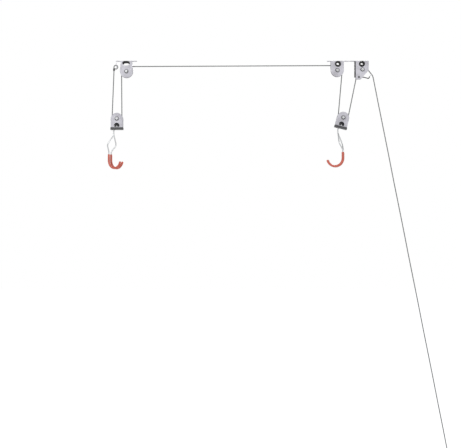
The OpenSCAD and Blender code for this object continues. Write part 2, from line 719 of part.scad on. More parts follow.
// Route of the rope through the lever's eye, and of the taut tail down to the cleat on the wall
eye_route = [
  [130, 0, -53.4], [133, 0, -57.5], [135.4, 0, -63], [137.5, 0, -71],
  [139.8, -0.1, -82.5], [144.5, -0.25, -106.5], [157, -0.7, -170]
];
tail_route = [
  eye_route[6], [177, -1.3, -270], [197, -2, -370], [216.5, -2.6, -470],
  [236.5, -3.3, -570], [256.5, -3.9, -670], [276, -4.6, -770], [296, -5.2, -870],
  [316, -5.9, -970], [335.5, -6.5, -1070], [355.5, -7.2, -1170], [375.5, -7.8, -1270],
  [395, -8.5, -1370], [415, -9.1, -1470], [434.5, -9.8, -1570], [441.6, -10.2, -1602],
  [443, -10.3, -1608]
];
tail_steps = 3;
tail_end = tail_route[len(tail_route) - 1];
tail_ref = [1, 0, 0];
tail_heading = unit(tail_route[1] - tail_route[0]);
module rope_eye_drop() {
  color(rope_colour) tube(smooth(eye_route, tail_steps), rope_r, rope_sides, tail_ref,
    ends = [[0.58, 0, -0.81], tail_heading]);
}
module rope_tail() {
  color(rope_colour) tube(smooth(tail_route, tail_steps), rope_r, rope_sides, tail_ref,
    ends = [tail_heading, [0, 0, -1]]);
}
// Turns round the cleat's stem and the short end below them
cleat_turns = 2;
turn_rings = 24;
turn_pitch = rope_d + 0.7 * over;
wrap_r = stem_d / 2 + rope_r + seat_clear;
turn_centre = [tail_end[0], tail_end[1] + wrap_r, tail_end[2] - rope_d];
end_drop = 32;
function cleat_path() = let (n = cleat_turns * turn_rings)
  concat([tail_end],
    [for (i = [0:n]) let (a = 180 + 360 * cleat_turns * i / n)
      turn_centre + [turn_pitch * cleat_turns * i / n, wrap_r * cos(a), wrap_r * sin(a)]],
    [turn_centre + [turn_pitch * cleat_turns, -wrap_r, -end_drop],
      turn_centre + [turn_pitch * cleat_turns, -wrap_r, -end_drop - rope_d]]);
cleat_points = cleat_path();
echo(cleat_turns_self_gap = self_gap(cleat_points, rope_d, 8));
rope_end = cleat_points[len(cleat_points) - 1];
module rope_cleat_turns() {
  color(rope_colour) tube(cleat_points, rope_r, 6, tail_ref);
}
module rope_tail_knot() {
  color(rope_colour) translate(rope_end) knot_wraps(2);
}

// Cleat: a foot on the wall, a round stem and two horns along Z
stem_gap = 15;
horn_root_d = 14;
horn_tip_d = 9;
cleat_z = turn_centre[2];
stem_left = turn_centre[0] - rope_r - 1.5 * over;
foot_left = stem_left + stem_gap;
wall_x = foot_left + foot_t;
horn_x = stem_left - horn_root_d / 2 + over;
foot_l = cleat_screw_pitch + 4 * cleat_hole_d;
module wall_cleat() {
  color([0.62, 0.62, 0.64]) difference() {
    union() {
      translate([foot_left, -foot_w / 2, cleat_z - (foot_l - foot_w) / 2])
        cube([foot_t, foot_w, foot_l - foot_w]);
      for (side = [-1, 1]) translate([foot_left, 0, cleat_z + side * (foot_l - foot_w) / 2])
        rotate([0, 90, 0]) cylinder(h = foot_t, d = foot_w);
      translate([horn_x, 0, cleat_z]) rotate([0, 90, 0])
        cylinder(h = foot_left - horn_x + over, d = stem_d);
      for (side = [0, 1]) translate([horn_x, 0, cleat_z]) mirror([0, 0, side]) {
        cylinder(h = cleat_l / 2 - horn_tip_d / 2, d1 = horn_root_d, d2 = horn_tip_d);
        translate([0, 0, cleat_l / 2 - horn_tip_d / 2]) sphere(d = horn_tip_d);
      }
    }
    for (side = [-1, 1])
      translate([foot_left - over, 0, cleat_z + side * cleat_screw_pitch / 2])
        rotate([0, 90, 0]) cylinder(h = foot_t + 2 * over, d = cleat_hole_d);
  }
}

// Hook block, drawn round its axle; the hooks hang behind its centre
hole_seat = sqrt(pow(ball_d / 2, 2) - pow(hook_hole_d / 2, 2)) + seat_clear;
floor_top = -block_floor + strap_t;
block_w = block_gap + 2 * strap_t;
strap_fold_r = 4;
block_round_drop = block_l / 2 - block_top;
module block_frame() {
  inner_r = strap_fold_r - strap_t;
  tall = block_top + block_floor;
  difference() {
    union() {
      intersection() {
        slab(-block_w, block_w) {
          translate([0, -block_round_drop]) circle(block_l / 2, $fn = 96);
          translate([-block_l / 2, -block_floor])
            square([block_l, block_floor - block_round_drop]);
        }
        translate([-block_l / 2, 0, 0]) rotate([90, 0, 90]) linear_extrude(block_l) difference() {
          union() {
            translate([-block_w / 2, -block_floor + strap_fold_r]) square([block_w, tall]);
            translate([-block_w / 2 + strap_fold_r, -block_floor])
              square([block_w - 2 * strap_fold_r, tall]);
            for (side = [-1, 1])
              translate([side * (block_w / 2 - strap_fold_r), -block_floor + strap_fold_r])
                circle(strap_fold_r);
          }
          translate([-block_gap / 2, floor_top + inner_r]) square([block_gap, 2 * tall]);
          translate([-block_gap / 2 + inner_r, floor_top])
            square([block_gap - 2 * inner_r, 2 * tall]);
          for (side = [-1, 1])
            translate([side * (block_gap / 2 - inner_r), floor_top + inner_r]) circle(inner_r);
        }
      }
      bosses([0, 0], block_gap, strap_t);
    }
    hole_y([0, 0], axle_d + 2 * running_clear, 2 * block_w);
    slab(-block_w, block_w) intersection() {
      translate([0, -window_drop]) circle(window_r);
      translate([-window_r, -window_floor]) square(2 * window_r);
    }
    for (side = [-1, 1])
      translate([-hook_back, side * hook_pitch / 2, -block_floor - over])
        cylinder(h = strap_t + 2 * over, d = hook_hole_d);
  }
}
// Dark shoe under a block: a plate with a low rim round the strap's foot
base_hole_d = hook_hole_d + 4 * over;
base_round = 3;
shoe_wall = 1.3;
shoe_rim = 2.2;
module round_plate(l, w, r) {
  square([l, w - 2 * r], center = true);
  square([l - 2 * r, w], center = true);
  for (x = [-1, 1]) for (y = [-1, 1])
    translate([x * (l / 2 - r), y * (w / 2 - r)]) circle(r);
}
module block_base() {
  grow = 2 * (shoe_wall + running_clear);
  difference() {
    translate([0, 0, -block_floor - base_t]) linear_extrude(base_t + shoe_rim)
      round_plate(block_l + grow, block_w + grow, base_round);
    translate([0, 0, -block_floor]) linear_extrude(shoe_rim + over)
      square([block_l + 2 * running_clear, block_w + 2 * running_clear], center = true);
    for (side = [-1, 1])
      translate([-hook_back, side * hook_pitch / 2, -block_floor - base_t - over])
        cylinder(h = base_t + 2 * over, d = base_hole_d);
  }
}
spacer_left = -hook_back + ball_d / 2 + 2 * seat_clear;
spacer_right = 14;
spacer_reach = 12;
spacer_step = floor_top + hole_seat + ball_d / 2 + 2 * seat_clear;
spacer_half = block_gap / 2 - 1.5 * over;
rivet_d = 2.6;
rivet_head_d = 5;
rivet_place = [0, -window_floor + 2 * over];
rivet_head_t = 1.2;
module block_spacer() {
  slab(-spacer_half, spacer_half) difference() {
    union() {
      translate([spacer_left, floor_top]) square([spacer_right - spacer_left, -floor_top]);
      translate([-spacer_reach, spacer_step]) square([spacer_reach + spacer_right, -spacer_step]);
    }
    circle(sheave_d / 2 + 0.8 * over, $fn = 96);
    translate(rivet_place) circle(d = rivet_d + 2 * running_clear);
    translate([-spacer_reach - over, -sheave_d / 2 + over])
      square([spacer_reach + spacer_right + 2 * over, sheave_d]);
  }
}
module block_rivet() {
  at(rivet_place) {
    rotate([90, 0, 0]) cylinder(h = 2 * spacer_half, d = rivet_d, center = true);
    for (side = [0, 1]) mirror([0, side, 0]) rotate([90, 0, 0]) translate([0, 0, spacer_half])
      cylinder(h = rivet_head_t, d1 = rivet_head_d, d2 = rivet_head_d - rivet_head_t);
  }
}
steel = [0.66, 0.66, 0.68];
dark_steel = [0.25, 0.25, 0.25];
paint = [0.78, 0.77, 0.81];
nylon = [0.04, 0.04, 0.045];
module rear_block_frame() {
  color(paint) at(rear_block, rear_block_tilt) block_frame();
}
module rear_block_base() {
  color(dark_steel) at(rear_block, rear_block_tilt) block_base();
}
module rear_block_bolt() {
  color(steel) at(rear_block, rear_block_tilt) axle_bolt(block_gap, strap_t);
}
module rear_block_washers() {
  color(dark_steel) at(rear_block, rear_block_tilt) axle_washers(block_gap, strap_t);
}
module rear_block_nut() {
  color(steel) at(rear_block, rear_block_tilt) axle_nut(block_gap, strap_t);
}
module rear_block_spacer() {
  color(nylon) at(rear_block, rear_block_tilt) block_spacer();
}
module rear_block_rivet() {
  color(steel) at(rear_block, rear_block_tilt) block_rivet();
}
module rear_block_sheave() {
  color(nylon) at(rear_block) sheave(sheave_d);
}
module rear_block_bush() {
  color(steel) at(rear_block) bush(block_gap);
}
module front_block_frame() {
  color(paint) at(front_block, front_block_tilt) block_frame();
}
module front_block_base() {
  color(dark_steel) at(front_block, front_block_tilt) block_base();
}
module front_block_bolt() {
  color(steel) at(front_block, front_block_tilt) axle_bolt(block_gap, strap_t);
}
module front_block_washers() {
  color(dark_steel) at(front_block, front_block_tilt) axle_washers(block_gap, strap_t);
}
module front_block_nut() {
  color(steel) at(front_block, front_block_tilt) axle_nut(block_gap, strap_t);
}
module front_block_spacer() {
  color(nylon) at(front_block, front_block_tilt) block_spacer();
}
module front_block_rivet() {
  color(steel) at(front_block, front_block_tilt) block_rivet();
}
module front_block_sheave() {
  color(nylon) at(front_block) sheave(sheave_d);
}
module front_block_bush() {
  color(steel) at(front_block) bush(block_gap);
}

// Ceiling sheaves and their fasteners
module rear_sheave() {
  color(nylon) at(rear_axle) sheave(sheave_d);
}
module rear_sheave_bush() {
  color(steel) at(rear_axle) bush(bracket_gap);
}
module front_sheave() {
  color(nylon) at(front_axle) sheave(sheave_d);
}
module front_sheave_bush() {
  color(steel) at(front_axle) bush(bracket_gap);
}
module lock_sheave() {
  color(nylon) at(lock_axle) sheave(lock_sheave_d);
}
module lock_sheave_bush() {
  color(steel) at(lock_axle) bush(bracket_gap);
}
module rear_axle_bolt() {
  color(steel) at(rear_axle) axle_bolt(bracket_gap, sheet_t);
}
module front_axle_bolt() {
  color(steel) at(front_axle) axle_bolt(bracket_gap, sheet_t);
}
module lock_axle_bolt() {
  color(steel) at(lock_axle) axle_bolt(bracket_gap, sheet_t);
}
module ceiling_axle_washers() {
  color(dark_steel) for (place = [rear_axle, front_axle, lock_axle])
    at(place) axle_washers(bracket_gap, sheet_t);
}
module ceiling_axle_nuts() {
  color(steel) for (place = [rear_axle, front_axle, lock_axle])
    at(place) axle_nut(bracket_gap, sheet_t);
}

// Hooks: bent wire, drawn from the ball's centre, its open end towards +X.
// side is -1 for the near hook of an unturned pair and 1 for the far one.
shank_end_share = 0.2;
elbow_share = 0.44;
lower_share = 0.6;
elbow_out = 25;
elbow_back = 11;
lower_out = 6;
lower_back = 21;
wire_bend_r = 14;
tip_sweep = 160;
coat_start_share = 0.66;
hook_arc_z = -hook_drop + hook_r;
function hook_corners(side) = [
  [0, 0, 0],
  [0, 0, -hook_drop * shank_end_share],
  [-elbow_back, side * elbow_out, -hook_drop * elbow_share],
  [-lower_back, side * lower_out, -hook_drop * lower_share],
  [-lower_back, side * lower_out, hook_arc_z]];
// Points of the round bend of radius r at corner b of the way from a to c
bend_steps = 4;
function bend_points(a, b, c, r) =
  let (u = unit(b - a), v = unit(c - b), w = unit(v - u * (u * v)), angle = acos(u * v),
    o = b - u * r * tan(angle / 2) + w * r)
  [for (i = [0:bend_steps]) let (t = angle * i / bend_steps) o + r * (u * sin(t) - w * cos(t))];
// Rings of the ball head, from its top down to where the wire leaves it
ball_rings = 8;
ball_top_angle = 10;
ball_foot_angle = 180 - asin(wire_d / ball_d);
ball_angles = [for (i = [0:ball_rings])
  ball_top_angle + (ball_foot_angle - ball_top_angle) * i / ball_rings];
wire_sides = 12;
wire_arc_rings = 16;
function hook_arc(side) = [for (i = [1:wire_arc_rings]) let (a = 180 + tip_sweep * i / wire_arc_rings)
  [hook_r - lower_back + hook_r * cos(a), side * lower_out, hook_arc_z + hook_r * sin(a)]];
function hook_path(side) = let (c = hook_corners(side)) concat(
  [for (a = ball_angles) [0, 0, ball_d / 2 * cos(a)]],
  [for (i = [1:3]) each bend_points(c[i - 1], c[i], c[i + 1], wire_bend_r)],
  [c[4]], hook_arc(side));
module hook_wire(side) {
  path = hook_path(side);
  radii = [for (i = [0:len(path) - 1])
    i <= ball_rings ? ball_d / 2 * sin(ball_angles[i]) : wire_d / 2];
  tube(path, radii, wire_sides, ref = wire_ref);
}
// The coat ends in a dome: rings past the wire's tip shrink to a small disc
coat_sides = 16;
dome_angles = [20, 40, 60, 80];
wire_ref = [0.18, 1, 0.07];
module hook_coat(side) {
  top = [-lower_back, side * lower_out, -hook_drop * coat_start_share];
  foot = [top[0], top[1], hook_arc_z];
  arc = hook_arc(side);
  end = arc[len(arc) - 1];
  out = [-sin(180 + tip_sweep), 0, cos(180 + tip_sweep)];
  body = concat([top, top - [0, 0, over], foot], arc, [end + out * over]);
  n = len(body);
  dome = [for (a = dome_angles) end + out * (over + coat_d / 2 * sin(a))];
  radii = concat([for (i = [0:n - 1]) i == 0 ? coat_d / 2 - over / 2 : coat_d / 2],
    [for (a = dome_angles) coat_d / 2 * cos(a)]);
  difference() {
    tube(concat(body, dome), radii, coat_sides, ref = wire_ref);
    tube(concat([top + [0, 0, over], foot], arc), wire_d / 2 + running_clear, wire_sides,
      ref = wire_ref);
  }
}
function seat_point(place, tilt, side) =
  let (p = turn([-hook_back, floor_top + hole_seat], -tilt))
  [place[0] + p[0], side * hook_pitch / 2, place[1] + p[1]];
module rear_hang(side) {
  translate(seat_point(rear_block, rear_block_tilt, side)) rotate([0, 0, rear_hook_yaw]) children();
}
module front_hang(side) {
  translate(seat_point(front_block, front_block_tilt, side))
    rotate([0, 0, front_hook_yaw]) children();
}
zinc = [0.85, 0.86, 0.86];
vinyl = [0.85, 0.33, 0.24];
module rear_near_hook() {
  color(zinc) rear_hang(-1) hook_wire(-1);
}
module rear_near_hook_coat() {
  color(vinyl) rear_hang(-1) hook_coat(-1);
}
module rear_far_hook() {
  color(zinc) rear_hang(1) hook_wire(1);
}
module rear_far_hook_coat() {
  color(vinyl) rear_hang(1) hook_coat(1);
}
module front_near_hook() {
  color(zinc) front_hang(-1) hook_wire(1);
}
module front_near_hook_coat() {
  color(vinyl) front_hang(-1) hook_coat(1);
}
module front_far_hook() {
  color(zinc) front_hang(1) hook_wire(-1);
}
module front_far_hook_coat() {
  color(vinyl) front_hang(1) hook_coat(-1);
}

rear_bracket();
rear_window_trim();
front_bracket();
window_grommets();
lock_anvil_plate();
rear_axle_bolt();
front_axle_bolt();
lock_axle_bolt();
ceiling_axle_washers();
ceiling_axle_nuts();
cam_pivot_pin();
cam_spring();
cam_lever();
lever_eye();
rear_sheave();
rear_sheave_bush();
front_sheave();
front_sheave_bush();
lock_sheave();
lock_sheave_bush();
rope_anchor_loop();
rear_fall_left();
rear_rope_bight();
rear_fall_right();
rope_span();
front_fall_left();
front_rope_bight();
front_fall_right();
rope_lock_run();
rope_eye_drop();
rope_tail();
rope_cleat_turns();
rope_tail_knot();
wall_cleat();
rear_block_frame();
rear_block_base();
rear_block_bolt();
rear_block_washers();
rear_block_nut();
rear_block_spacer();
rear_block_rivet();
rear_block_sheave();
rear_block_bush();
front_block_frame();
front_block_base();
front_block_bolt();
front_block_washers();
front_block_nut();
front_block_spacer();
front_block_rivet();
front_block_sheave();
front_block_bush();
rear_near_hook();
rear_near_hook_coat();
rear_far_hook();
rear_far_hook_coat();
front_near_hook();
front_near_hook_coat();
front_far_hook();
front_far_hook_coat();
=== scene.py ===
# %% [markdown]
# # Ceiling hoist
# One rope runs over two ceiling brackets and under two hook blocks, then past a toothed
# cam that locks it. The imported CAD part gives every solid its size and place. This
# script gives the solids their finishes, and adds the pieces that plain solids draw
# badly: braided rope, bent hook wires with a dipped coat, knots and a wound spring.

import json
import math

import bmesh
import bpy
import mathutils
import numpy as np
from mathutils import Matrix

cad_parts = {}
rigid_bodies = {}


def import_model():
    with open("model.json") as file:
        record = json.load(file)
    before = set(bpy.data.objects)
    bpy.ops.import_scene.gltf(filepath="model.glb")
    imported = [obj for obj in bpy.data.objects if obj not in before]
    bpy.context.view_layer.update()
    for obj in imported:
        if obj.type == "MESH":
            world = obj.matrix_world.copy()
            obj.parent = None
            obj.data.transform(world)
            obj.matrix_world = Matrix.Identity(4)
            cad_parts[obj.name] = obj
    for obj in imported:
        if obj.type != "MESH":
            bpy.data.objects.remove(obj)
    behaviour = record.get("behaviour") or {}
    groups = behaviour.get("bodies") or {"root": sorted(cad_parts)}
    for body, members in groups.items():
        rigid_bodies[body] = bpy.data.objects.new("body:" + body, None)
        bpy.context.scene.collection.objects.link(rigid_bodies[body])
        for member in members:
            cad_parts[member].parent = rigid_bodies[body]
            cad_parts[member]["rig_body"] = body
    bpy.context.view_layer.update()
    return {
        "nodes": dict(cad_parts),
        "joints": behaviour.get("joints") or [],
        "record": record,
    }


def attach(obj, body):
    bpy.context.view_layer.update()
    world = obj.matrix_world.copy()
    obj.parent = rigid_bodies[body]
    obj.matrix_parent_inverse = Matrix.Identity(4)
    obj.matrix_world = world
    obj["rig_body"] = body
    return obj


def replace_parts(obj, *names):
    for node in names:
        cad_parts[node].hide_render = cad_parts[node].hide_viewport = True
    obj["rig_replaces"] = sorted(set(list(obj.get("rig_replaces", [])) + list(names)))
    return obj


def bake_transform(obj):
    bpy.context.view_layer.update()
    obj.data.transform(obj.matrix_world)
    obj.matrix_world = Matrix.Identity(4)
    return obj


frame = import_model()
MM = 0.001
joints = {j["name"]: j for j in frame["joints"]}

# %% [markdown]
# ## Camera
# The photograph looks straight at the hoist, level with its middle, from far away: the
# rope's two ends and both plates show no difference in scale. A long lens at a few
# metres gives the same flat view. The view's middle is a place on the hoist, written in
# metres, and the width of the view at the hoist follows from the size of its rope span.

# %% Camera
VIEW_MIDDLE = (-0.434, 0.0, -0.652)
VIEW_WIDTH = 1.844
VIEW_DISTANCE = 5.5
FARTHEST_SEEN = 60
SENSOR = 36.0


def photo_camera():
    """Lens length = sensor width * distance / width seen at that distance."""
    data = bpy.data.cameras.new("photo_camera")
    data.sensor_width = SENSOR
    data.lens = SENSOR * VIEW_DISTANCE / VIEW_WIDTH
    data.clip_end = FARTHEST_SEEN
    camera = bpy.data.objects.new("photo_camera", data)
    x, y, z = VIEW_MIDDLE
    camera.location = (x, y - VIEW_DISTANCE, z)
    camera.rotation_euler = (math.pi / 2, 0, 0)
    bpy.context.scene.collection.objects.link(camera)
    bpy.context.scene.camera = camera
    return camera


camera = photo_camera()
print("lens mm:", round(camera.data.lens, 1))

# %% [markdown]
# ## Light and floor
# Two wide soft lamps and an even world light the hoist at a plain level. The background
# is white only where the camera, a reflection or a refraction looks at it, so its
# brightness adds nothing to the light on the object. The floor lies a room's height
# below the ceiling and is white in the same way, but keeps the shadow.

# %% World, lamps and floor
FLOOR_Z = -2.35
FLOOR_SIZE = 60.0
FLOOR_TONE = 0.82
FLOOR_GLOW = 0.62
WORLD_TINT = (0.97, 0.98, 1, 1)
WORLD_LEVEL = 0.55
WHITE = (1, 1, 1, 1)
# Each lamp's place, the point it faces, its side in metres and its power in watts.
LAMPS = {
    "key_lamp": ((-2.6, -3.4, 1.6), (-0.4, 0, -0.4), 2.6, 85),
    "fill_lamp": ((2.6, -2.8, 0.4), (-0.3, 0, -0.5), 2.6, 42),
    "back_lamp": ((0.4, 3.4, 1.4), (-0.4, 0, -0.4), 2.2, 60),
}


def link_nodes(tree, pairs):
    """Links (from socket, to socket) pairs in a node tree."""
    for a, b in pairs:
        tree.links.new(a, b)


def seen_directly(tree):
    """1 where the camera, a mirror or glass looks at the surface, and 0 elsewhere."""
    path = tree.nodes.new("ShaderNodeLightPath")
    first = tree.nodes.new("ShaderNodeMath")
    first.operation = "MAXIMUM"
    both = tree.nodes.new("ShaderNodeMath")
    both.operation = "MAXIMUM"
    link_nodes(tree, [
        (path.outputs["Is Camera Ray"], first.inputs[0]),
        (path.outputs["Is Glossy Ray"], first.inputs[1]),
        (first.outputs[0], both.inputs[0]),
        (path.outputs["Is Transmission Ray"], both.inputs[1]),
    ])
    return both.outputs[0]


def studio_world():
    """Even light on the object, and plain white where the background is seen."""
    world = bpy.data.worlds.new("studio")
    world.use_nodes = True
    tree = world.node_tree
    tree.nodes.clear()
    out = tree.nodes.new("ShaderNodeOutputWorld")
    light = tree.nodes.new("ShaderNodeBackground")
    light.inputs["Color"].default_value = WORLD_TINT
    light.inputs["Strength"].default_value = WORLD_LEVEL
    white = tree.nodes.new("ShaderNodeBackground")
    white.inputs["Strength"].default_value = 1.0
    white.inputs["Color"].default_value = WHITE
    mix = tree.nodes.new("ShaderNodeMixShader")
    link_nodes(tree, [
        (seen_directly(tree), mix.inputs[0]),
        (light.outputs[0], mix.inputs[1]),
        (white.outputs[0], mix.inputs[2]),
        (mix.outputs[0], out.inputs["Surface"]),
    ])
    bpy.context.scene.world = world


def soft_lamp(name, place, target, size, watts):
    """A square area lamp at place that faces target."""
    data = bpy.data.lights.new(name, "AREA")
    data.shape = "SQUARE"
    data.size = size
    data.energy = watts
    lamp = bpy.data.objects.new(name, data)
    lamp.location = place
    aim = np.array(target) - np.array(place)
    lamp.rotation_mode = "QUATERNION"
    lamp.rotation_quaternion = mathutils.Vector(aim).to_track_quat("-Z", "Y")
    bpy.context.scene.collection.objects.link(lamp)


def pale_floor():
    """A flat square of side FLOOR_SIZE whose corners are +-half in x and y."""
    h = FLOOR_SIZE / 2
    mesh = bpy.data.meshes.new("floor")
    mesh.from_pydata(
        [(-h, -h, FLOOR_Z), (h, -h, FLOOR_Z), (h, h, FLOOR_Z), (-h, h, FLOOR_Z)],
        [], [(0, 1, 2, 3)])
    floor = bpy.data.objects.new("floor", mesh)
    bpy.context.scene.collection.objects.link(floor)
    material = bpy.data.materials.new("floor_white")
    material.use_nodes = True
    tree = material.node_tree
    tree.nodes.clear()
    out = tree.nodes.new("ShaderNodeOutputMaterial")
    paint = tree.nodes.new("ShaderNodeBsdfDiffuse")
    paint.inputs["Color"].default_value = (FLOOR_TONE, FLOOR_TONE, FLOOR_TONE, 1)
    glow = tree.nodes.new("ShaderNodeEmission")
    glow.inputs["Strength"].default_value = FLOOR_GLOW
    both = tree.nodes.new("ShaderNodeAddShader")
    mix = tree.nodes.new("ShaderNodeMixShader")
    link_nodes(tree, [
        (paint.outputs[0], both.inputs[0]),
        (glow.outputs[0], both.inputs[1]),
        (seen_directly(tree), mix.inputs[0]),
        (paint.outputs[0], mix.inputs[1]),
        (both.outputs[0], mix.inputs[2]),
        (mix.outputs[0], out.inputs["Surface"]),
    ])
    mesh.materials.append(material)


studio_world()
bpy.context.scene.view_settings.view_transform = "Standard"
for lamp_name, (place, target, size, watts) in LAMPS.items():
    soft_lamp(lamp_name, place, target, size, watts)
pale_floor()
print("lamps:", sorted(LAMPS), "floor at z", FLOOR_Z)

# %% [markdown]
# ## Shared effects as node groups
# Real finishes are never one flat value. Paint has an orange-peel skin and faint
# mottling, plated steel has drawn lines and spangle, rope has a braid. Each effect is a
# node group with named inputs and outputs, built once and placed in every material that
# needs it with its own values, so that one change mends it everywhere.

# %% Group helpers
def new_group(name, inputs, outputs):
    """A node group; inputs are (name, type, default) and outputs are (name, type)."""
    group = bpy.data.node_groups.new(name, "ShaderNodeTree")
    for label, kind, default in inputs:
        socket = group.interface.new_socket(label, in_out="INPUT", socket_type=kind)
        if default is not None:
            socket.default_value = default
    for label, kind in outputs:
        group.interface.new_socket(label, in_out="OUTPUT", socket_type=kind)
    return group, group.nodes.new("NodeGroupInput"), group.nodes.new("NodeGroupOutput")


def math_node(tree, operation, a, b=None, clamp=False):
    """One Math node; a and b are numbers or sockets. Returns its output."""
    node = tree.nodes.new("ShaderNodeMath")
    node.operation = operation
    node.use_clamp = clamp
    for i, value in enumerate((a, b)):
        if value is None:
            continue
        if isinstance(value, (int, float)):
            node.inputs[i].default_value = value
        else:
            tree.links.new(value, node.inputs[i])
    return node.outputs[0]


def noise(tree, vector, scale, detail, roughness):
    """A Noise Texture's value, from 0 to 1; scale is in features a metre."""
    node = tree.nodes.new("ShaderNodeTexNoise")
    node.inputs["Detail"].default_value = detail
    node.inputs["Roughness"].default_value = roughness
    if isinstance(scale, (int, float)):
        node.inputs["Scale"].default_value = scale
    else:
        tree.links.new(scale, node.inputs["Scale"])
    tree.links.new(vector, node.inputs["Vector"])
    return node.outputs["Fac"]


def spread(tree, value, low, high):
    """Maps a value of 0 to 1 on to low to high."""
    node = tree.nodes.new("ShaderNodeMapRange")
    node.inputs["To Min"].default_value = low
    node.inputs["To Max"].default_value = high
    tree.links.new(value, node.inputs["Value"])
    return node.outputs["Result"]


def mix_colours(tree, factor, a, b):
    """Factor 0 gives a and 1 gives b; a and b are RGBA values or sockets."""
    node = tree.nodes.new("ShaderNodeMix")
    node.data_type = "RGBA"
    tree.links.new(factor, node.inputs["Factor"])
    for label, value in (("A", a), ("B", b)):
        socket = [s for s in node.inputs if s.name == label and s.type == "RGBA"][0]
        if isinstance(value, (tuple, list)):
            socket.default_value = value
        else:
            tree.links.new(value, socket)
    return [s for s in node.outputs if s.type == "RGBA"][0]


print("group helpers ready")

# %% Paint skin, drawn metal and braid
SCUFF_FROM, SCUFF_GAIN = 0.6, 7.0
MOTTLE_FROM, MOTTLE_GAIN = 0.33, 2.9
WAVE_SHARE = 0.6


def paint_skin_group():
    """Height = fine orange peel plus a share of a broad wave. Mottle is the broad noise
    less MOTTLE_FROM, times its gain, kept from 0 to 1. Scuff is a fine noise treated the
    same way, so that only its peaks show."""
    group, given, out = new_group(
        "paint skin",
        [("Peel Scale", "NodeSocketFloat", 900.0), ("Mottle Scale", "NodeSocketFloat", 28.0)],
        [("Height", "NodeSocketFloat"), ("Mottle", "NodeSocketFloat"),
         ("Scuff", "NodeSocketFloat")])
    place = group.nodes.new("ShaderNodeTexCoord").outputs["Object"]
    peel = noise(group, place, given.outputs["Peel Scale"], 3.0, 0.5)
    broad = noise(group, place, given.outputs["Mottle Scale"], 5.0, 0.6)
    fine = noise(group, place, 210.0, 8.0, 0.75)
    scuff = math_node(group, "MULTIPLY", math_node(group, "SUBTRACT", fine, SCUFF_FROM),
                      SCUFF_GAIN, clamp=True)
    mottle = math_node(group, "MULTIPLY", math_node(group, "SUBTRACT", broad, MOTTLE_FROM),
                       MOTTLE_GAIN, clamp=True)
    height = math_node(group, "ADD", peel, math_node(group, "MULTIPLY", broad, WAVE_SHARE))
    link_nodes(group, [(height, out.inputs["Height"]), (mottle, out.inputs["Mottle"]),
                       (scuff, out.inputs["Scuff"])])
    return group


def drawn_metal_group():
    """Lines are a noise stretched along one axis; Spangle is a cell pattern of plating
    crystals; Stain is a broad noise."""
    group, given, out = new_group(
        "drawn metal",
        [("Stretch", "NodeSocketVector", (1.0, 1.0, 0.06)),
         ("Line Scale", "NodeSocketFloat", 2600.0)],
        [("Lines", "NodeSocketFloat"), ("Spangle", "NodeSocketFloat"),
         ("Stain", "NodeSocketFloat")])
    place = group.nodes.new("ShaderNodeTexCoord").outputs["Object"]
    stretch = group.nodes.new("ShaderNodeVectorMath")
    stretch.operation = "MULTIPLY"
    link_nodes(group, [(place, stretch.inputs[0]), (given.outputs["Stretch"], stretch.inputs[1])])
    lines = noise(group, stretch.outputs[0], given.outputs["Line Scale"], 2.0, 0.6)
    cells = group.nodes.new("ShaderNodeTexVoronoi")
    cells.inputs["Scale"].default_value = 420.0
    link_nodes(group, [(place, cells.inputs["Vector"])])
    apart = group.nodes.new("ShaderNodeSeparateColor")
    link_nodes(group, [(cells.outputs["Color"], apart.inputs[0])])
    stain = noise(group, place, 60.0, 6.0, 0.65)
    link_nodes(group, [(lines, out.inputs["Lines"]), (apart.outputs[0], out.inputs["Spangle"]),
                       (stain, out.inputs["Stain"])])
    return group


def braid_group():
    """Strands cross on the piece's own UV map: u goes round and v along, both counted in
    turns round the rope. With p = n(u + v) and q = n(u - v), a checker of p and q says
    which strand lies on top, and that strand's height is the sine over its width."""
    group, given, out = new_group(
        "braid",
        [("Strands", "NodeSocketFloat", 8.0), ("Steepness", "NodeSocketFloat", 0.8)],
        [("Height", "NodeSocketFloat"), ("Strand", "NodeSocketFloat"),
         ("Fluff", "NodeSocketFloat")])
    uv = group.nodes.new("ShaderNodeUVMap")
    uv.uv_map = "around_along"
    apart = group.nodes.new("ShaderNodeSeparateXYZ")
    link_nodes(group, [(uv.outputs[0], apart.inputs[0])])
    u, v = apart.outputs[0], apart.outputs[1]
    steep = math_node(group, "MULTIPLY", v, given.outputs["Steepness"])
    p = math_node(group, "MULTIPLY", math_node(group, "ADD", u, steep), given.outputs["Strands"])
    q = math_node(group, "MULTIPLY", math_node(group, "SUBTRACT", u, steep),
                  given.outputs["Strands"])
    cell = math_node(group, "ADD", math_node(group, "FLOOR", p), math_node(group, "FLOOR", q))
    odd = math_node(group, "FLOORED_MODULO", cell, 2.0)
    ridge = []
    for value in (p, q):
        part = math_node(group, "FRACT", value)
        ridge.append(math_node(group, "SINE", math_node(group, "MULTIPLY", part, math.pi)))
    over = math_node(group, "MULTIPLY", ridge[0], odd)
    under = math_node(group, "MULTIPLY", ridge[1], math_node(group, "SUBTRACT", 1.0, odd))
    place = group.nodes.new("ShaderNodeTexCoord").outputs["Object"]
    fluff = noise(group, place, 5200.0, 3.0, 0.7)
    link_nodes(group, [
        (math_node(group, "ADD", over, under), out.inputs["Height"]),
        (odd, out.inputs["Strand"]), (fluff, out.inputs["Fluff"])])
    return group


paint_skin = paint_skin_group()
drawn_metal = drawn_metal_group()
braid = braid_group()
print("node groups:", [g.name for g in (paint_skin, drawn_metal, braid)])

# %% [markdown]
# ## Materials
# Each finish starts from the Principled shader with its constant values set on its own
# sockets. The groups then vary the colour and the roughness a little, and a Bump node
# turns their height into relief. The sizes of the relief are real: orange peel is about
# a millimetre across and some hundredths deep.

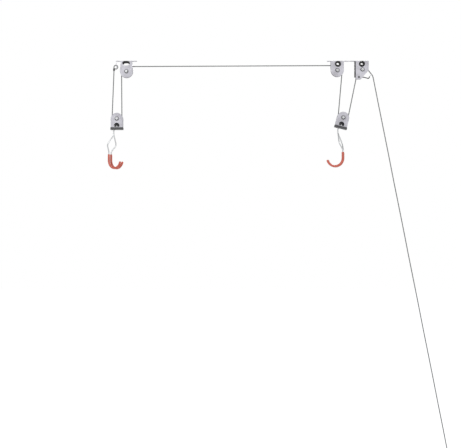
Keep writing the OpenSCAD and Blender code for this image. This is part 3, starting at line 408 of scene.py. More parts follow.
# %% Material helpers
def use_group(tree, group, **values):
    """Places a group node and sets its named inputs (underscores stand for spaces)."""
    node = tree.nodes.new("ShaderNodeGroup")
    node.node_tree = group
    for name, value in values.items():
        node.inputs[name.replace("_", " ")].default_value = value
    return node


def base_material(name, roughness, metallic=0.0, **sockets):
    """A material with one Principled shader; returns (material, tree, shader)."""
    material = bpy.data.materials.new(name)
    material.use_nodes = True
    tree = material.node_tree
    shader = tree.nodes["Principled BSDF"]
    shader.inputs["Roughness"].default_value = roughness
    shader.inputs["Metallic"].default_value = metallic
    for label, value in sockets.items():
        shader.inputs[label.replace("_", " ")].default_value = value
    return material, tree, shader


def add_bump(tree, shader, height, distance, strength):
    """Relief: height 0 to 1 stands for 0 to distance metres."""
    bump = tree.nodes.new("ShaderNodeBump")
    bump.inputs["Distance"].default_value = distance
    bump.inputs["Strength"].default_value = strength
    link_nodes(tree, [(height, bump.inputs["Height"]), (bump.outputs[0], shader.inputs["Normal"])])


def painted(name, light, dark, scuffed, roughness, coat=0.0):
    """Powder coat: mottled between two near tones, scuffed in small specks."""
    material, tree, shader = base_material(name, roughness, Coat_Weight=coat)
    skin = use_group(tree, paint_skin)
    tone = mix_colours(tree, skin.outputs["Mottle"], light, dark)
    faint = math_node(tree, "MULTIPLY", skin.outputs["Scuff"], 0.3)
    link_nodes(tree, [
        (mix_colours(tree, faint, tone, scuffed), shader.inputs["Base Color"]),
        (spread(tree, skin.outputs["Mottle"], roughness - 0.08, roughness + 0.1),
         shader.inputs["Roughness"])])
    add_bump(tree, shader, skin.outputs["Height"], 0.06 * MM, 0.5)
    return material


def plated(name, light, dark, roughness, stretch, line_depth=0.012):
    """Plated or drawn metal: lines along one axis, faint spangle and stain."""
    material, tree, shader = base_material(name, roughness, metallic=1.0)
    metal = use_group(tree, drawn_metal, Stretch=stretch)
    blotch = math_node(tree, "MULTIPLY", metal.outputs["Spangle"], metal.outputs["Stain"])
    link_nodes(tree, [
        (mix_colours(tree, blotch, light, dark), shader.inputs["Base Color"]),
        (spread(tree, metal.outputs["Lines"], roughness - 0.09, roughness + 0.12),
         shader.inputs["Roughness"])])
    add_bump(tree, shader, metal.outputs["Lines"], line_depth * MM, 0.4)
    return material


print("material helpers ready")

# %% The hoist's finishes
ALONG_Y, ALONG_Z = (1.0, 0.05, 1.0), (1.0, 1.0, 0.05)


def moulded(name, tone, lighter, roughness, grain_scale, depth):
    """Moulded plastic or rubber: a fine eroded skin with paler rubbed places."""
    material, tree, shader = base_material(name, roughness, Specular_IOR_Level=0.25)
    skin = use_group(tree, paint_skin, Peel_Scale=grain_scale, Mottle_Scale=55.0)
    rubbed = math_node(tree, "MULTIPLY", skin.outputs["Mottle"], skin.outputs["Mottle"])
    link_nodes(tree, [
        (mix_colours(tree, rubbed, tone, lighter), shader.inputs["Base Color"]),
        (spread(tree, skin.outputs["Mottle"], roughness - 0.1, roughness + 0.08),
         shader.inputs["Roughness"])])
    add_bump(tree, shader, skin.outputs["Height"], depth * MM, 0.6)
    return material


def braided_rope():
    """Grey cord: raised strands with painted shade darkening the gaps between them, and a faint
    fluff.
    """
    material, tree, shader = base_material(
        "grey braided rope", 0.85, Sheen_Weight=0.25, Sheen_Roughness=0.5)
    weave = use_group(tree, braid, Strands=8.0, Steepness=0.8)
    fleck = mix_colours(tree, weave.outputs["Strand"], (0.235, 0.242, 0.238, 1),
                        (0.17, 0.176, 0.176, 1))
    worn = mix_colours(tree, weave.outputs["Fluff"], fleck, (0.30, 0.31, 0.305, 1))
    # Painted shade: the colour runs to near black where the braid's height falls, in the gaps
    # between strands.
    gap_shade = math_node(tree, "POWER", weave.outputs["Height"], 0.6)
    link_nodes(tree, [
        (mix_colours(tree, gap_shade, (0.05, 0.052, 0.052, 1), worn), shader.inputs["Base Color"]),
        (spread(tree, weave.outputs["Fluff"], 0.7, 0.95), shader.inputs["Roughness"])])
    height = math_node(tree, "ADD", weave.outputs["Height"],
                       math_node(tree, "MULTIPLY", weave.outputs["Fluff"], 0.15))
    add_bump(tree, shader, height, 0.35 * MM, 0.9)
    return material


def dipped_vinyl():
    """Soft orange-red vinyl: a coat with a low gloss, faint runs, and paler high places
    where a load has rubbed."""
    material, tree, shader = base_material(
        "orange red vinyl", 0.36, Subsurface_Weight=0.08, Subsurface_Scale=0.002)
    skin = use_group(tree, paint_skin, Peel_Scale=320.0, Mottle_Scale=70.0)
    tone = mix_colours(tree, skin.outputs["Mottle"], (0.60, 0.125, 0.075, 1),
                       (0.46, 0.085, 0.055, 1))
    rubbed = math_node(tree, "MULTIPLY", skin.outputs["Scuff"], 0.35)
    link_nodes(tree, [
        (mix_colours(tree, rubbed, tone, (0.70, 0.30, 0.22, 1)), shader.inputs["Base Color"]),
        (spread(tree, skin.outputs["Mottle"], 0.28, 0.5), shader.inputs["Roughness"])])
    add_bump(tree, shader, skin.outputs["Height"], 0.10 * MM, 0.5)
    return material


LOOKS = {
    "bracket_paint": painted("pale grey powder coat", (0.62, 0.61, 0.66, 1),
                             (0.38, 0.37, 0.40, 1), (0.24, 0.24, 0.25, 1), 0.42, 0.05),
    # Painted shade in part: real dark paint, made near black so that it also stands for the shade
    # under the base plates and round the bolt heads.
    "dark_steel": painted("dark grey paint with painted shade", (0.060, 0.060, 0.062, 1),
                          (0.040, 0.040, 0.043, 1), (0.20, 0.20, 0.20, 1), 0.45),
    "zinc_steel": plated("bright zinc", (0.64, 0.65, 0.67, 1), (0.36, 0.36, 0.34, 1),
                         0.32, ALONG_Y),
    "hook_wire": plated("zinc plated wire", (0.50, 0.51, 0.52, 1), (0.28, 0.28, 0.27, 1),
                        0.30, ALONG_Z),
    "spring_steel": plated("spring wire", (0.52, 0.52, 0.54, 1), (0.36, 0.35, 0.34, 1),
                           0.34, ALONG_Y),
    "bush_bronze": plated("sintered bronze", (0.62, 0.40, 0.18, 1), (0.42, 0.26, 0.12, 1),
                          0.42, ALONG_Y),
    "cleat_metal": plated("tumbled casting", (0.44, 0.44, 0.45, 1), (0.30, 0.30, 0.31, 1),
                          0.46, (1.0, 1.0, 1.0), 0.03),
    "black_nylon": moulded("black nylon", (0.016, 0.016, 0.018, 1), (0.038, 0.038, 0.04, 1),
                           0.45, 1400.0, 0.03),
    "black_rubber": moulded("black rubber", (0.012, 0.012, 0.012, 1),
                            (0.030, 0.030, 0.031, 1), 0.7, 2200.0, 0.05),
    "rope": braided_rope(),
    "hook_coat": dipped_vinyl(),
}
slot_of = {s["node"]: s["material_slot"] for s in frame["record"]["subparts"]}
print("finishes:", sorted(LOOKS))

# %% [markdown]
# ## Swept pieces
# Rope, wire and spring are all one idea: a round section carried along a path. The path
# is an array of points. At each point a frame of two directions across the path places
# the section's circle, and each frame is the last one turned by no more than the path
# itself turns, so the tube never twists. A UV map counts round and along in the same
# unit, so that a braid keeps its shape at every thickness.

# %% Paths and tubes
def tangents(path):
    """Unit direction at each point: from the point before to the point after."""
    step = np.gradient(path, axis=0)
    return step / np.linalg.norm(step, axis=1, keepdims=True)


def carried_frames(path):
    """Each frame is the last one with its part along the new tangent taken away and
    its length made 1 again. Returns the two directions across the path."""
    along = tangents(path)
    across = np.zeros_like(path)
    side = np.eye(3)[np.argmin(np.abs(along[0]))]
    for i, t in enumerate(along):
        side = side - t * (side @ t)
        side = side / np.linalg.norm(side)
        across[i] = side
    return across, np.cross(along, across)


def tube_mesh(name, path, radii, sides):
    """Point(i, k) = path[i] + radius[i] * (cos a * across + sin a * up), a = 2 pi k / sides.
    Both ends close with a fan round a middle point. UV: u = k / sides, v = length along
    divided by the girth."""
    path = np.asarray(path, float)
    n = len(path)
    radii = np.broadcast_to(np.asarray(radii, float), (n,))
    across, up = carried_frames(path)
    a = np.arange(sides) / sides * 2 * np.pi
    ring = (np.cos(a)[None, :, None] * across[:, None] + np.sin(a)[None, :, None] * up[:, None])
    points = path[:, None] + radii[:, None, None] * ring
    flat = np.concatenate([points.reshape(-1, 3), path[:1], path[-1:]])
    i, k = np.meshgrid(np.arange(n - 1), np.arange(sides), indexing="ij")
    j = (k + 1) % sides
    quads = np.stack([i * sides + k, i * sides + j, (i + 1) * sides + j, (i + 1) * sides + k], -1)
    here = np.arange(sides)
    beyond = (here + 1) % sides
    first, last = n * sides, n * sides + 1
    low_fan = np.stack([np.full(sides, first), beyond, here], -1)
    high_fan = np.stack([np.full(sides, last), (n - 1) * sides + here,
                         (n - 1) * sides + beyond], -1)
    mesh = bpy.data.meshes.new(name)
    faces = quads.reshape(-1, 4).tolist() + low_fan.tolist() + high_fan.tolist()
    mesh.from_pydata(flat.tolist(), [], faces)
    length = np.concatenate([[0], np.cumsum(np.linalg.norm(np.diff(path, axis=0), axis=1))])
    v = length / (2 * np.pi * radii.mean())
    uv_quads = np.stack([
        np.stack([k / sides, v[i]], -1), np.stack([(k + 1) / sides, v[i]], -1),
        np.stack([(k + 1) / sides, v[i + 1]], -1), np.stack([k / sides, v[i + 1]], -1)],
        2).reshape(-1, 2)
    fan = np.stack([here / sides, (here + 1) / sides, (here + 0.5) / sides], -1)
    uv_low = np.stack([fan[:, ::-1], np.full_like(fan, v[0])], -1).reshape(-1, 2)
    uv_high = np.stack([fan, np.full_like(fan, v[-1])], -1).reshape(-1, 2)
    layer = mesh.uv_layers.new(name="around_along")
    layer.data.foreach_set("uv", np.concatenate([uv_quads, uv_low, uv_high]).ravel())
    mesh.shade_smooth()
    return mesh


def piece(mesh, look, body=None, replaces=()):
    """Makes the mesh an object, gives it its finish and says which CAD nodes it stands
    for and which body carries it."""
    thing = bpy.data.objects.new(mesh.name, mesh)
    bpy.context.scene.collection.objects.link(thing)
    mesh.materials.clear()
    mesh.materials.append(LOOKS[look])
    if replaces:
        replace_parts(thing, *replaces)
    if body:
        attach(thing, body)
    return thing


def straight(a, b, step):
    """Evenly spaced points from a to b, at most step apart."""
    a, b = np.asarray(a, float), np.asarray(b, float)
    n = max(int(math.ceil(np.linalg.norm(b - a) / step)), 2)
    return a + (b - a) * np.linspace(0, 1, n + 1)[:, None]


print("sweep helpers ready")

# %% [markdown]
# ## The rope's way round the wheels
# The rope lies in the groove of each wheel, so its line is made of arcs round the axles
# and of straight runs that touch two such circles. Where two neighbouring wheels turn
# opposite ways the run crosses between them. The touching angle of such a crossed run
# is the direction from axle to axle, turned by the arc cosine of the sum of the two
# radii over the distance.

# %% Axles and touching angles
ROPE_R = 2.0 * MM
GROOVE_R = 19.7 * MM
LOCK_GROOVE_R = 17.2 * MM
ARC_STEP = math.radians(5.0)
TURN = 2 * math.pi


def axle(joint):
    """A joint's place as (x, z)."""
    x, _, z = joints[joint]["pos_m"]
    return np.array([x, z])


rear_axle, front_axle = axle("rear_wheel_spin"), axle("front_wheel_spin")
lock_axle = axle("lock_wheel_spin")
rear_hub, front_hub = axle("rear_block_wheel_spin"), axle("front_block_wheel_spin")


def heading(v):
    """Angle of a direction (x, z) from +X, in radians."""
    return math.atan2(v[1], v[0])


def crossed_angle(a, ra, b, rb, side):
    """Heading from a to b, plus side times the arc cosine of (ra + rb) / distance."""
    return heading(b - a) + side * math.acos((ra + rb) / np.linalg.norm(b - a))


def touch_angle(point, centre, radius, side):
    """Heading from centre to point, plus side times the arc cosine of radius / distance."""
    return heading(point - centre) + side * math.acos(radius / np.linalg.norm(point - centre))


def on_circle(centre, radius, angle):
    """Centre + radius * (cos angle, sin angle)."""
    return centre + radius * np.array([math.cos(angle), math.sin(angle)])


def upright(points):
    """Puts (x, z) points into the rope's plane, y = 0."""
    points = np.atleast_2d(points)
    return np.stack([points[:, 0], np.zeros(len(points)), points[:, 1]], -1)


def arc(centre, radius, a0, a1):
    """Points on a circle from angle a0 to a1, in radians, at most ARC_STEP apart."""
    n = int(math.ceil(abs(a1 - a0) / ARC_STEP))
    a = np.linspace(a0, a1, n + 1)
    return centre + radius * np.stack([np.cos(a), np.sin(a)], -1)


rear_off = crossed_angle(rear_axle, GROOVE_R, rear_hub, GROOVE_R, -1) % TURN
front_off = crossed_angle(front_axle, GROOVE_R, front_hub, GROOVE_R, 1)
lock_on = crossed_angle(lock_axle, LOCK_GROOVE_R, front_hub, GROOVE_R, -1) % TURN
span_up = heading(front_axle - rear_axle) + math.pi / 2
print("rope leaves the rear wheel at", round(math.degrees(rear_off), 1), "degrees")

# %% [markdown]
# ## Falls, wraps and runs of rope
# The rope is cut into named stretches where it touches or leaves a wheel. A stretch on a
# ceiling wheel stays still, and the wrap under a block's wheel rides on the block's
# carriage. A fall hangs between the two; it is made in place and carried by no body.
# The run to the lever's eye is made in the same way, though its far end follows the
# lever when the lock is released.

# %% Rope stretches
ROPE_SIDES = 16
FALL_STEP = 3.0 * MM
SPAN_STEP = 8.0 * MM
ANCHOR_X, WHIPPING_TOP, WHIPPING_FOOT = -900.0 * MM, -28.62 * MM, -40.02 * MM
EYE_POINT = np.array([130.0, -53.4]) * MM


def rope_piece(name, flat_path, body):
    """One stretch of rope in the plane y = 0, riding on a body."""
    mesh = tube_mesh(name, upright(flat_path), ROPE_R, ROPE_SIDES)
    return piece(mesh, "rope", body, [name])


def rope_fall(name, top, foot):
    """A straight fall from top to foot, made in place and carried by no body."""
    path = upright(straight(top, foot, FALL_STEP))
    fall = piece(tube_mesh(name, path, ROPE_R, ROPE_SIDES), "rope", None, [name])
    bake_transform(fall)


anchor = np.array([ANCHOR_X, WHIPPING_FOOT])
rear_in = touch_angle(anchor, rear_hub, GROOVE_R, 1)
rope_fall("rear_fall_left", anchor, on_circle(rear_hub, GROOVE_R, rear_in))
rope_fall("rear_fall_right", on_circle(rear_axle, GROOVE_R, rear_off),
          on_circle(rear_hub, GROOVE_R, rear_off - math.pi))
rope_fall("front_fall_left", on_circle(front_axle, GROOVE_R, front_off),
          on_circle(front_hub, GROOVE_R, front_off + math.pi))
rope_fall("front_fall_right", on_circle(lock_axle, LOCK_GROOVE_R, lock_on),
          on_circle(front_hub, GROOVE_R, lock_on + math.pi))
rope_piece("rear_rope_bight", arc(rear_hub, GROOVE_R, rear_in, rear_off + math.pi),
           "rear_carriage")
rope_piece("front_rope_bight",
           arc(front_hub, GROOVE_R, front_off + math.pi, lock_on + math.pi), "front_carriage")
rope_piece("rope_span", np.concatenate([
    arc(rear_axle, GROOVE_R, rear_off, span_up),
    straight(on_circle(rear_axle, GROOVE_R, span_up),
             on_circle(front_axle, GROOVE_R, span_up), SPAN_STEP)[1:-1],
    arc(front_axle, GROOVE_R, span_up, front_off)]), "base")
lock_out = touch_angle(EYE_POINT, lock_axle, LOCK_GROOVE_R, 1)
lock_leave = on_circle(lock_axle, LOCK_GROOVE_R, lock_out)
lock_path = np.concatenate([arc(lock_axle, LOCK_GROOVE_R, lock_on, lock_out),
                            straight(lock_leave, EYE_POINT, FALL_STEP)[1:]])
lock_run = piece(tube_mesh("rope_lock_run", upright(lock_path), ROPE_R, ROPE_SIDES),
                 "rope", None, ["rope_lock_run"])
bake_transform(lock_run)
print("rope stretches made")

# %% [markdown]
# ## The rope's anchored end
# The rope's end passes through the hole in the bracket's tab, comes back to itself and
# is bound with dark twine. One tube runs most of the way round the loop and then
# straight down to the fall. The rope's short end is a thinner tube that lies beside it
# inside the binding, which is a helix of thin twine.

# %% Anchor loop and whipping
LOOP_R = 7.5 * MM
LOOP_CENTRE = np.array([-892.5, -24.5]) * MM
# Angles on the loop, in radians, where the core and the short end start.
LOOP_START, SHORT_END_START = -2.2, -2.3
CORE_STEP = 2 * MM
SHORT_END_R = 1.5 * MM
# Places (x, z) of the short end, from the binding's top and from its foot.
SHORT_END_TOP, SHORT_END_FOOT = (1.0 * MM, -3 * MM), (0.6 * MM, 1.5 * MM)
TWINE_R, TWINE_SIDES = 0.85 * MM, 10
TWINE_TURNS = 6
TWINE_ASIDE, TWINE_OUT = 0.2 * MM, 1.15 * MM
HELIX_RINGS = 24


def helix(centre, radius, foot, top, turns):
    """Point(t) = centre + radius * (cos, sin) of 2 pi turns t, height from top to foot,
    with HELIX_RINGS points a turn."""
    t = np.linspace(0, 1, int(turns * HELIX_RINGS) + 1)
    a = TURN * turns * t
    return np.stack([centre[0] + radius * np.cos(a), centre[1] + radius * np.sin(a),
                     top + (foot - top) * t], -1)


def joined(name, meshes):
    """One mesh made of several, each keeping its own faces and UV map."""
    bm = bmesh.new()
    for mesh in meshes:
        bm.from_mesh(mesh)
    out = bpy.data.meshes.new(name)
    bm.to_mesh(out)
    bm.free()
    for mesh in meshes:
        bpy.data.meshes.remove(mesh)
    return out


def twine_material():
    """Waxed dark twine: fine twisted lines and a soft gloss."""
    material, tree, shader = base_material("dark waxed twine", 0.55)
    metal = use_group(tree, drawn_metal, Stretch=(1.0, 1.0, 0.5), Line_Scale=3200.0)
    link_nodes(tree, [(mix_colours(tree, metal.outputs["Lines"], (0.035, 0.035, 0.036, 1),
                                   (0.09, 0.09, 0.088, 1)), shader.inputs["Base Color"]),
                      (spread(tree, metal.outputs["Lines"], 0.42, 0.7),
                       shader.inputs["Roughness"])])
    add_bump(tree, shader, metal.outputs["Lines"], 0.05 * MM, 0.7)
    return material


LOOKS["twine"] = twine_material()
loop = tube_mesh("loop", upright(np.concatenate([
    arc(LOOP_CENTRE, LOOP_R, LOOP_START, math.pi),
    straight((ANCHOR_X, LOOP_CENTRE[1]), anchor, CORE_STEP)[1:]])), ROPE_R, ROPE_SIDES)
short_end = tube_mesh("short_end", upright(np.array([
    on_circle(LOOP_CENTRE, LOOP_R, SHORT_END_START),
    (ANCHOR_X + SHORT_END_TOP[0], WHIPPING_TOP + SHORT_END_TOP[1]),
    (ANCHOR_X + SHORT_END_FOOT[0], WHIPPING_FOOT + SHORT_END_FOOT[1])])),
    SHORT_END_R, ROPE_SIDES)
piece(joined("rope_anchor_loop", [loop, short_end]), "rope", "base", ["rope_anchor_loop"])
twine_path = helix((ANCHOR_X + TWINE_ASIDE, 0.0), ROPE_R + TWINE_OUT,
                   WHIPPING_FOOT + TWINE_R, WHIPPING_TOP - TWINE_R, TWINE_TURNS)
whipping = tube_mesh("anchor_whipping", twine_path, TWINE_R, TWINE_SIDES)
binding = piece(whipping, "twine", "base")
print("anchor loop bound with", TWINE_TURNS, "turns of twine")

# %% [markdown]
# ## The tail
# From the lever's eye the rope runs taut and straight to the cleat on the wall, which
# lies below the photograph's edge. A taut rope has no sag worth drawing, so its points
# lie on a line, with a short curve where it leaves the eye. That first stretch is made
# in place and carried by no body, though its upper end goes with the lever's eye and
# its lower end stays. On the cleat the rope takes two round turns and ends in a stopper
# knot. The points are the CAD route's own, in metres.

# %% Tail, turns and knot
EYE_ROUTE = np.array([
    (130, 0, -53.4), (133, 0, -57.5), (135.4, 0, -63), (137.5, 0, -71),
    (139.8, -0.1, -82.5), (144.5, -0.25, -106.5), (157, -0.7, -170)]) * MM
TAIL_ROUTE = np.array([
    (157, -0.7, -170), (177, -1.3, -270), (197, -2, -370), (216.5, -2.6, -470),
    (236.5, -3.3, -570), (256.5, -3.9, -670), (276, -4.6, -770), (296, -5.2, -870),
    (316, -5.9, -970), (335.5, -6.5, -1070), (355.5, -7.2, -1170), (375.5, -7.8, -1270),
    (395, -8.5, -1370), (415, -9.1, -1470), (434.5, -9.8, -1570), (441.6, -10.2, -1602),
    (443, -10.3, -1608)]) * MM
TAIL_SIDES, ROUTE_STEPS = 12, 12
CLEAT_TURNS, CLEAT_RINGS = 2, 32
TURN_PITCH = 4.7 * MM
WRAP_R = 10.3 * MM
END_DROP = 32 * MM
KNOT_TURNS, KNOT_PITCH, KNOT_R = 2, 3.9 * MM, 2.2 * MM
KNOT_ROPE_R = ROPE_R - 0.15 * MM


def rounded(points, steps):
    """Catmull-Rom: between b and c the curve is half of 2b + (c - a)t +
    (2a - 5b + 4c - d)t^2 + (3b - a - 3c + d)t^3."""
    p = np.concatenate([points[:1], points, points[-1:]])
    t = (np.arange(steps) / steps)[None, :, None]
    a, b, c, d = (p[i:len(points) - 1 + i, None] for i in range(4))
    curve = 0.5 * (2 * b + (c - a) * t + (2 * a - 5 * b + 4 * c - d) * t ** 2
                   + (3 * b - a - 3 * c + d) * t ** 3)
    return np.concatenate([curve.reshape(-1, 3), points[-1:]])


def cleat_path(start):
    """A helix round the stem's axis, which runs along X, then a short end straight down."""
    middle = start + np.array([0, WRAP_R, -2 * ROPE_R])
    a = math.pi + np.linspace(0, TURN * CLEAT_TURNS, CLEAT_TURNS * CLEAT_RINGS + 1)
    along = TURN_PITCH * (a - math.pi) / TURN
    turns = np.stack([middle[0] + along, middle[1] + WRAP_R * np.cos(a),
                      middle[2] + WRAP_R * np.sin(a)], -1)
    last = turns[-1]
    down = straight(last, last - np.array([0, 0, END_DROP]), FALL_STEP)[1:]
    return np.concatenate([turns, down])


eye_drop = rounded(EYE_ROUTE, ROUTE_STEPS)
drop_piece = piece(tube_mesh("rope_eye_drop", eye_drop, ROPE_R, TAIL_SIDES), "rope", None,
                   ["rope_eye_drop"])
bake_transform(drop_piece)
tail = rounded(TAIL_ROUTE, ROUTE_STEPS)
turns = cleat_path(tail[-1])
tail_path = np.concatenate([tail, turns])
tail_piece = piece(tube_mesh("rope_tail", tail_path, ROPE_R, TAIL_SIDES), "rope", "base",
                   ["rope_tail", "rope_cleat_turns"])
rope_end = tail_path[-1]
knot_turns = helix((rope_end[0] - KNOT_R, rope_end[1]), KNOT_R,
                   rope_end[2] - KNOT_TURNS * KNOT_PITCH, rope_end[2], KNOT_TURNS)
knot = piece(tube_mesh("rope_tail_knot", knot_turns, KNOT_ROPE_R, TAIL_SIDES), "rope",
             "base", ["rope_tail_knot"])

# %% [markdown]
# ## Hooks
# A hook is one length of plated wire. Its ball head rests in the block's floor. Below
# it the wire kinks out, comes back and turns up in a wide open bend, which is dipped in
# soft vinyl. The two hooks of a block are mirror images, and hang turned by the block's
# own yaw. The path is straight runs joined by bends of one radius: each bend's centre
# lies on the inner side of the corner, so that the arc touches both runs.

# %% Hook paths
HOOK_DROP, HOOK_BEND_R, OPEN_R = 166 * MM, 14 * MM, 32 * MM
ELBOW, LOWER = (-11 * MM, 25 * MM), (-21 * MM, 6 * MM)
SHANK_SHARE, ELBOW_SHARE, LOWER_SHARE, COAT_SHARE = 0.2, 0.44, 0.6, 0.66
TIP_SWEEP = math.radians(160)
WIRE_R, BALL_R, COAT_R = 2.5 * MM, 5 * MM, 4.3 * MM
OPEN_Z = -HOOK_DROP + OPEN_R
HOOK_SIDES, BEND_RINGS, OPEN_RINGS = 24, 10, 48
# The ball and the tip's dome are drawn between these angles, in degrees.
BALL_RINGS, BALL_START, BALL_END = 22, 6, 150
DOME_RINGS, DOME_END = 9, 84
NECK_STEP, COAT_STEP = 4 * MM, 3 * MM
LIP_RINGS, LIP_LENGTH = 9, 3.2 * MM
TIP_OVER, DOME_STRETCH = 0.8 * MM, 0.2 * MM


def bend_points(a, b, c, radius):
    """With u and v the directions in and out and w the unit part of v across u, the
    centre is b - u r tan(angle / 2) + w r, and the arc is centre + r (u sin t - w cos t)."""
    u = (b - a) / np.linalg.norm(b - a)
    v = (c - b) / np.linalg.norm(c - b)
    w = v - u * (u @ v)
    w = w / np.linalg.norm(w)
    angle = math.acos(u @ v)
    centre = b - u * radius * math.tan(angle / 2) + w * radius
    t = np.linspace(0, angle, BEND_RINGS + 1)[:, None]
    return centre + radius * (u * np.sin(t) - w * np.cos(t))


def open_bend(side):
    """Circle of radius OPEN_R in the hook's own upright plane, from straight down."""
    a = math.pi + np.linspace(0, TIP_SWEEP, OPEN_RINGS + 1)
    return np.stack([LOWER[0] + OPEN_R + OPEN_R * np.cos(a),
                     np.full(OPEN_RINGS + 1, side * LOWER[1]),
                     OPEN_Z + OPEN_R * np.sin(a)], -1)


def hook_line(side):
    """The bent shank: three bends, joined by straight runs down to the open bend."""
    c = np.array([(0, 0, 0), (0, 0, -HOOK_DROP * SHANK_SHARE),
                  (ELBOW[0], side * ELBOW[1], -HOOK_DROP * ELBOW_SHARE),
                  (LOWER[0], side * LOWER[1], -HOOK_DROP * LOWER_SHARE),
                  (LOWER[0], side * LOWER[1], OPEN_Z)])
    bends = [bend_points(c[i - 1], c[i], c[i + 1], HOOK_BEND_R) for i in (1, 2, 3)]
    return np.concatenate(bends)


def hung(points, joint, yaw):
    """Turns the hook's own points by yaw about the vertical and hangs them at the joint."""
    c, s = math.cos(math.radians(yaw)), math.sin(math.radians(yaw))
    turn = np.array([[c, -s, 0], [s, c, 0], [0, 0, 1]])
    return points @ turn.T + np.array(joints[joint]["pos_m"])


def hook_wire_mesh(name, side, joint, yaw):
    """Ball rings: height r cos a and radius r sin a, then the wire's own radius."""
    a = np.radians(np.linspace(BALL_START, BALL_END, BALL_RINGS))
    ball = np.stack([np.zeros(BALL_RINGS), np.zeros(BALL_RINGS), BALL_R * np.cos(a)], -1)
    shank = hook_line(side)
    neck = straight((0, 0, -BALL_R), shank[0], NECK_STEP)
    path = np.concatenate([ball, neck, shank[1:], open_bend(side)])
    radii = np.full(len(path), WIRE_R)
    radii[:BALL_RINGS] = BALL_R * np.sin(a)
    return tube_mesh(name, hung(path, joint, yaw), radii, HOOK_SIDES)


def hook_coat_mesh(name, side, joint, yaw):
    """The coat swells from the wire to its full radius as a quarter of an ellipse, and
    ends in a dome: radius r cos a, moved on by r sin a."""
    top = np.array([LOWER[0], side * LOWER[1], -HOOK_DROP * COAT_SHARE])
    lip = np.linspace(0, 1, LIP_RINGS)
    start = top - np.array([0, 0, LIP_LENGTH]) * lip[:, None]
    swell = WIRE_R + (COAT_R - WIRE_R) * np.sqrt(1 - (1 - lip) ** 2)
    line = straight(start[-1], (top[0], top[1], OPEN_Z), COAT_STEP)[1:]
    bend = open_bend(side)[1:]
    end = math.pi + TIP_SWEEP
    out = np.array([-math.sin(end), 0, math.cos(end)])
    a = np.radians(np.linspace(0, DOME_END, DOME_RINGS))[:, None]
    dome = bend[-1] + out * (TIP_OVER + (COAT_R + DOME_STRETCH) * np.sin(a))
    path = np.concatenate([start, line, bend, dome])
    radii = np.full(len(path), COAT_R)
    radii[:LIP_RINGS] = swell
    radii[-DOME_RINGS:] = COAT_R * np.cos(a[:, 0])
    return tube_mesh(name, hung(path, joint, yaw), radii, HOOK_SIDES)


# Each hook's side of its block and its yaw in degrees.
HOOKS = {"rear_near": (-1, -40), "rear_far": (1, -40), "front_near": (1, 160),
         "front_far": (-1, 160)}
for hook, (side, yaw) in HOOKS.items():
    joint = f"{hook}_swivel"
    piece(hook_wire_mesh(f"{hook}_hook", side, joint, yaw), "hook_wire", hook,
          [f"{hook}_hook"])
    piece(hook_coat_mesh(f"{hook}_hook_coat", side, joint, yaw), "hook_coat", hook,
          [f"{hook}_hook_coat"])
print("hooks:", sorted(HOOKS))

# %% [markdown]
# ## Cam spring
# A torsion spring on the cam's pin presses the cam against the rope. Its first leg lies
# under the lever's arm and its last leg against the anvil plate. The leg by the lever
# moves with it and the other stays; the spring is made in place and carried by no body.

# %% Wound spring
SPRING_R, SPRING_WIRE, SPRING_TURNS = 4.2 * MM, 1.2 * MM, 3.25
SPRING_PITCH, SPRING_START = 1.65 * MM, 1.8 * MM
ARM_LEG, UNDER_ARM, LEG_UP = 11 * MM, -3.5 * MM, 7 * MM
CAM_Y, LEG_CORNER_Y, ANVIL_LEG = -6 * MM, -2 * MM, -14.2 * MM
LEG_STEPS, SPRING_SIDES = 6, 10
cam_x, _, cam_z = joints["lock_release"]["pos_m"]


def spring_path():
    """A leg under the arm, a helix round the Y axis with HELIX_RINGS rings a turn, then a
    leg up and across to the plate; the corners are rounded as a Catmull-Rom curve."""
    w = SPRING_WIRE
    t = np.linspace(0, 1, int(SPRING_TURNS * HELIX_RINGS) + 1)
    a = -math.pi / 2 - TURN * SPRING_TURNS * t
    coil = np.stack([SPRING_R * np.cos(a), SPRING_START + SPRING_PITCH * SPRING_TURNS * t,
                     SPRING_R * np.sin(a)], -1)
    last_y = coil[-1, 1]
    first_leg = rounded(np.array([
        (ARM_LEG, CAM_Y + w, UNDER_ARM), (ARM_LEG, LEG_CORNER_Y, UNDER_ARM),
        (ARM_LEG - 0.6 * w, SPRING_START - 1.6 * w, UNDER_ARM),
        (SPRING_R + w, SPRING_START - 0.2 * w, -SPRING_R - 0.1 * w), coil[0]]), LEG_STEPS)[:-1]
    last_leg = rounded(np.array([
        coil[-1], (-SPRING_R - 0.1 * w, last_y, LEG_UP - 2 * w),
        (-SPRING_R - w, last_y, LEG_UP), (ANVIL_LEG + 2 * w, last_y, LEG_UP),
        (ANVIL_LEG, last_y, LEG_UP)]), LEG_STEPS)[1:]
    return np.concatenate([first_leg, coil, last_leg]) + np.array([cam_x, 0, cam_z])


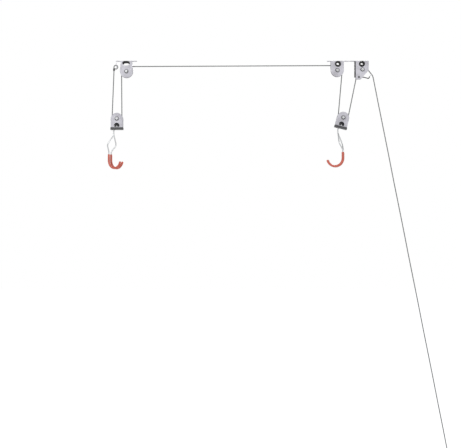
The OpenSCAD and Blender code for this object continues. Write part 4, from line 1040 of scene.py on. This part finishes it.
spring_line = spring_path()
spring = piece(tube_mesh("cam_spring", spring_line, SPRING_WIRE / 2, SPRING_SIDES),
               "spring_steel", None, ["cam_spring"])
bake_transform(spring)
print("spring rings:", len(spring_line))

# %% [markdown]
# ## CAD nodes with softened edges
# A real edge is never sharp: sheared sheet has a small burr rounded by its paint, and a
# nut has chamfers. The other nodes keep their CAD shape exactly. A copy of each mesh is
# merged, its flat stretches are joined, and a Bevel modifier rounds the edges that
# stand at a steep angle, which is what catches the light on a real part.

# %% Softened copies
# Bevel widths in millimetres, by finish.
BEVELS = {"bracket_paint": 0.35, "dark_steel": 0.3, "zinc_steel": 0.25, "black_nylon": 0.3,
          "black_rubber": 0.18, "bush_bronze": 0.15, "cleat_metal": 1.1}
BEVEL_SEGMENTS = 2
SHARP, FLAT = math.radians(32), math.radians(0.5)
MERGE_DISTANCE = 0.002 * MM


def softened(node, look, width):
    """A merged copy of a CAD node with flat stretches joined and steep edges rounded."""
    source = frame["nodes"][node]
    bm = bmesh.new()
    bm.from_mesh(source.data)
    bmesh.ops.remove_doubles(bm, verts=bm.verts, dist=MERGE_DISTANCE)
    bmesh.ops.dissolve_limit(bm, angle_limit=FLAT, verts=bm.verts, edges=bm.edges)
    mesh = bpy.data.meshes.new(f"{node}_soft")
    bm.to_mesh(mesh)
    bm.free()
    mesh.shade_smooth()
    mesh.set_sharp_from_angle(angle=SHARP)
    thing = piece(mesh, look, source["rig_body"], [node])
    bevel = thing.modifiers.new("rounded_edges", "BEVEL")
    bevel.width = width * MM
    bevel.segments = BEVEL_SEGMENTS
    bevel.limit_method = "ANGLE"
    bevel.angle_limit = SHARP
    bevel.use_clamp_overlap = True
    bevel.harden_normals = True


made_here = {n for o in bpy.data.objects if "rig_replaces" in o for n in o["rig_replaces"]}
for node in sorted(set(frame["nodes"]) - made_here):
    look = slot_of[node]
    softened(node, look, BEVELS[look])
print("softened nodes:", len(frame["nodes"]) - len(made_here))

# %% [markdown]
# ## Sizes and finish
# The CAD part sets the size, and the scene is brought up to date.

# %% Sizes
bpy.context.view_layer.update()
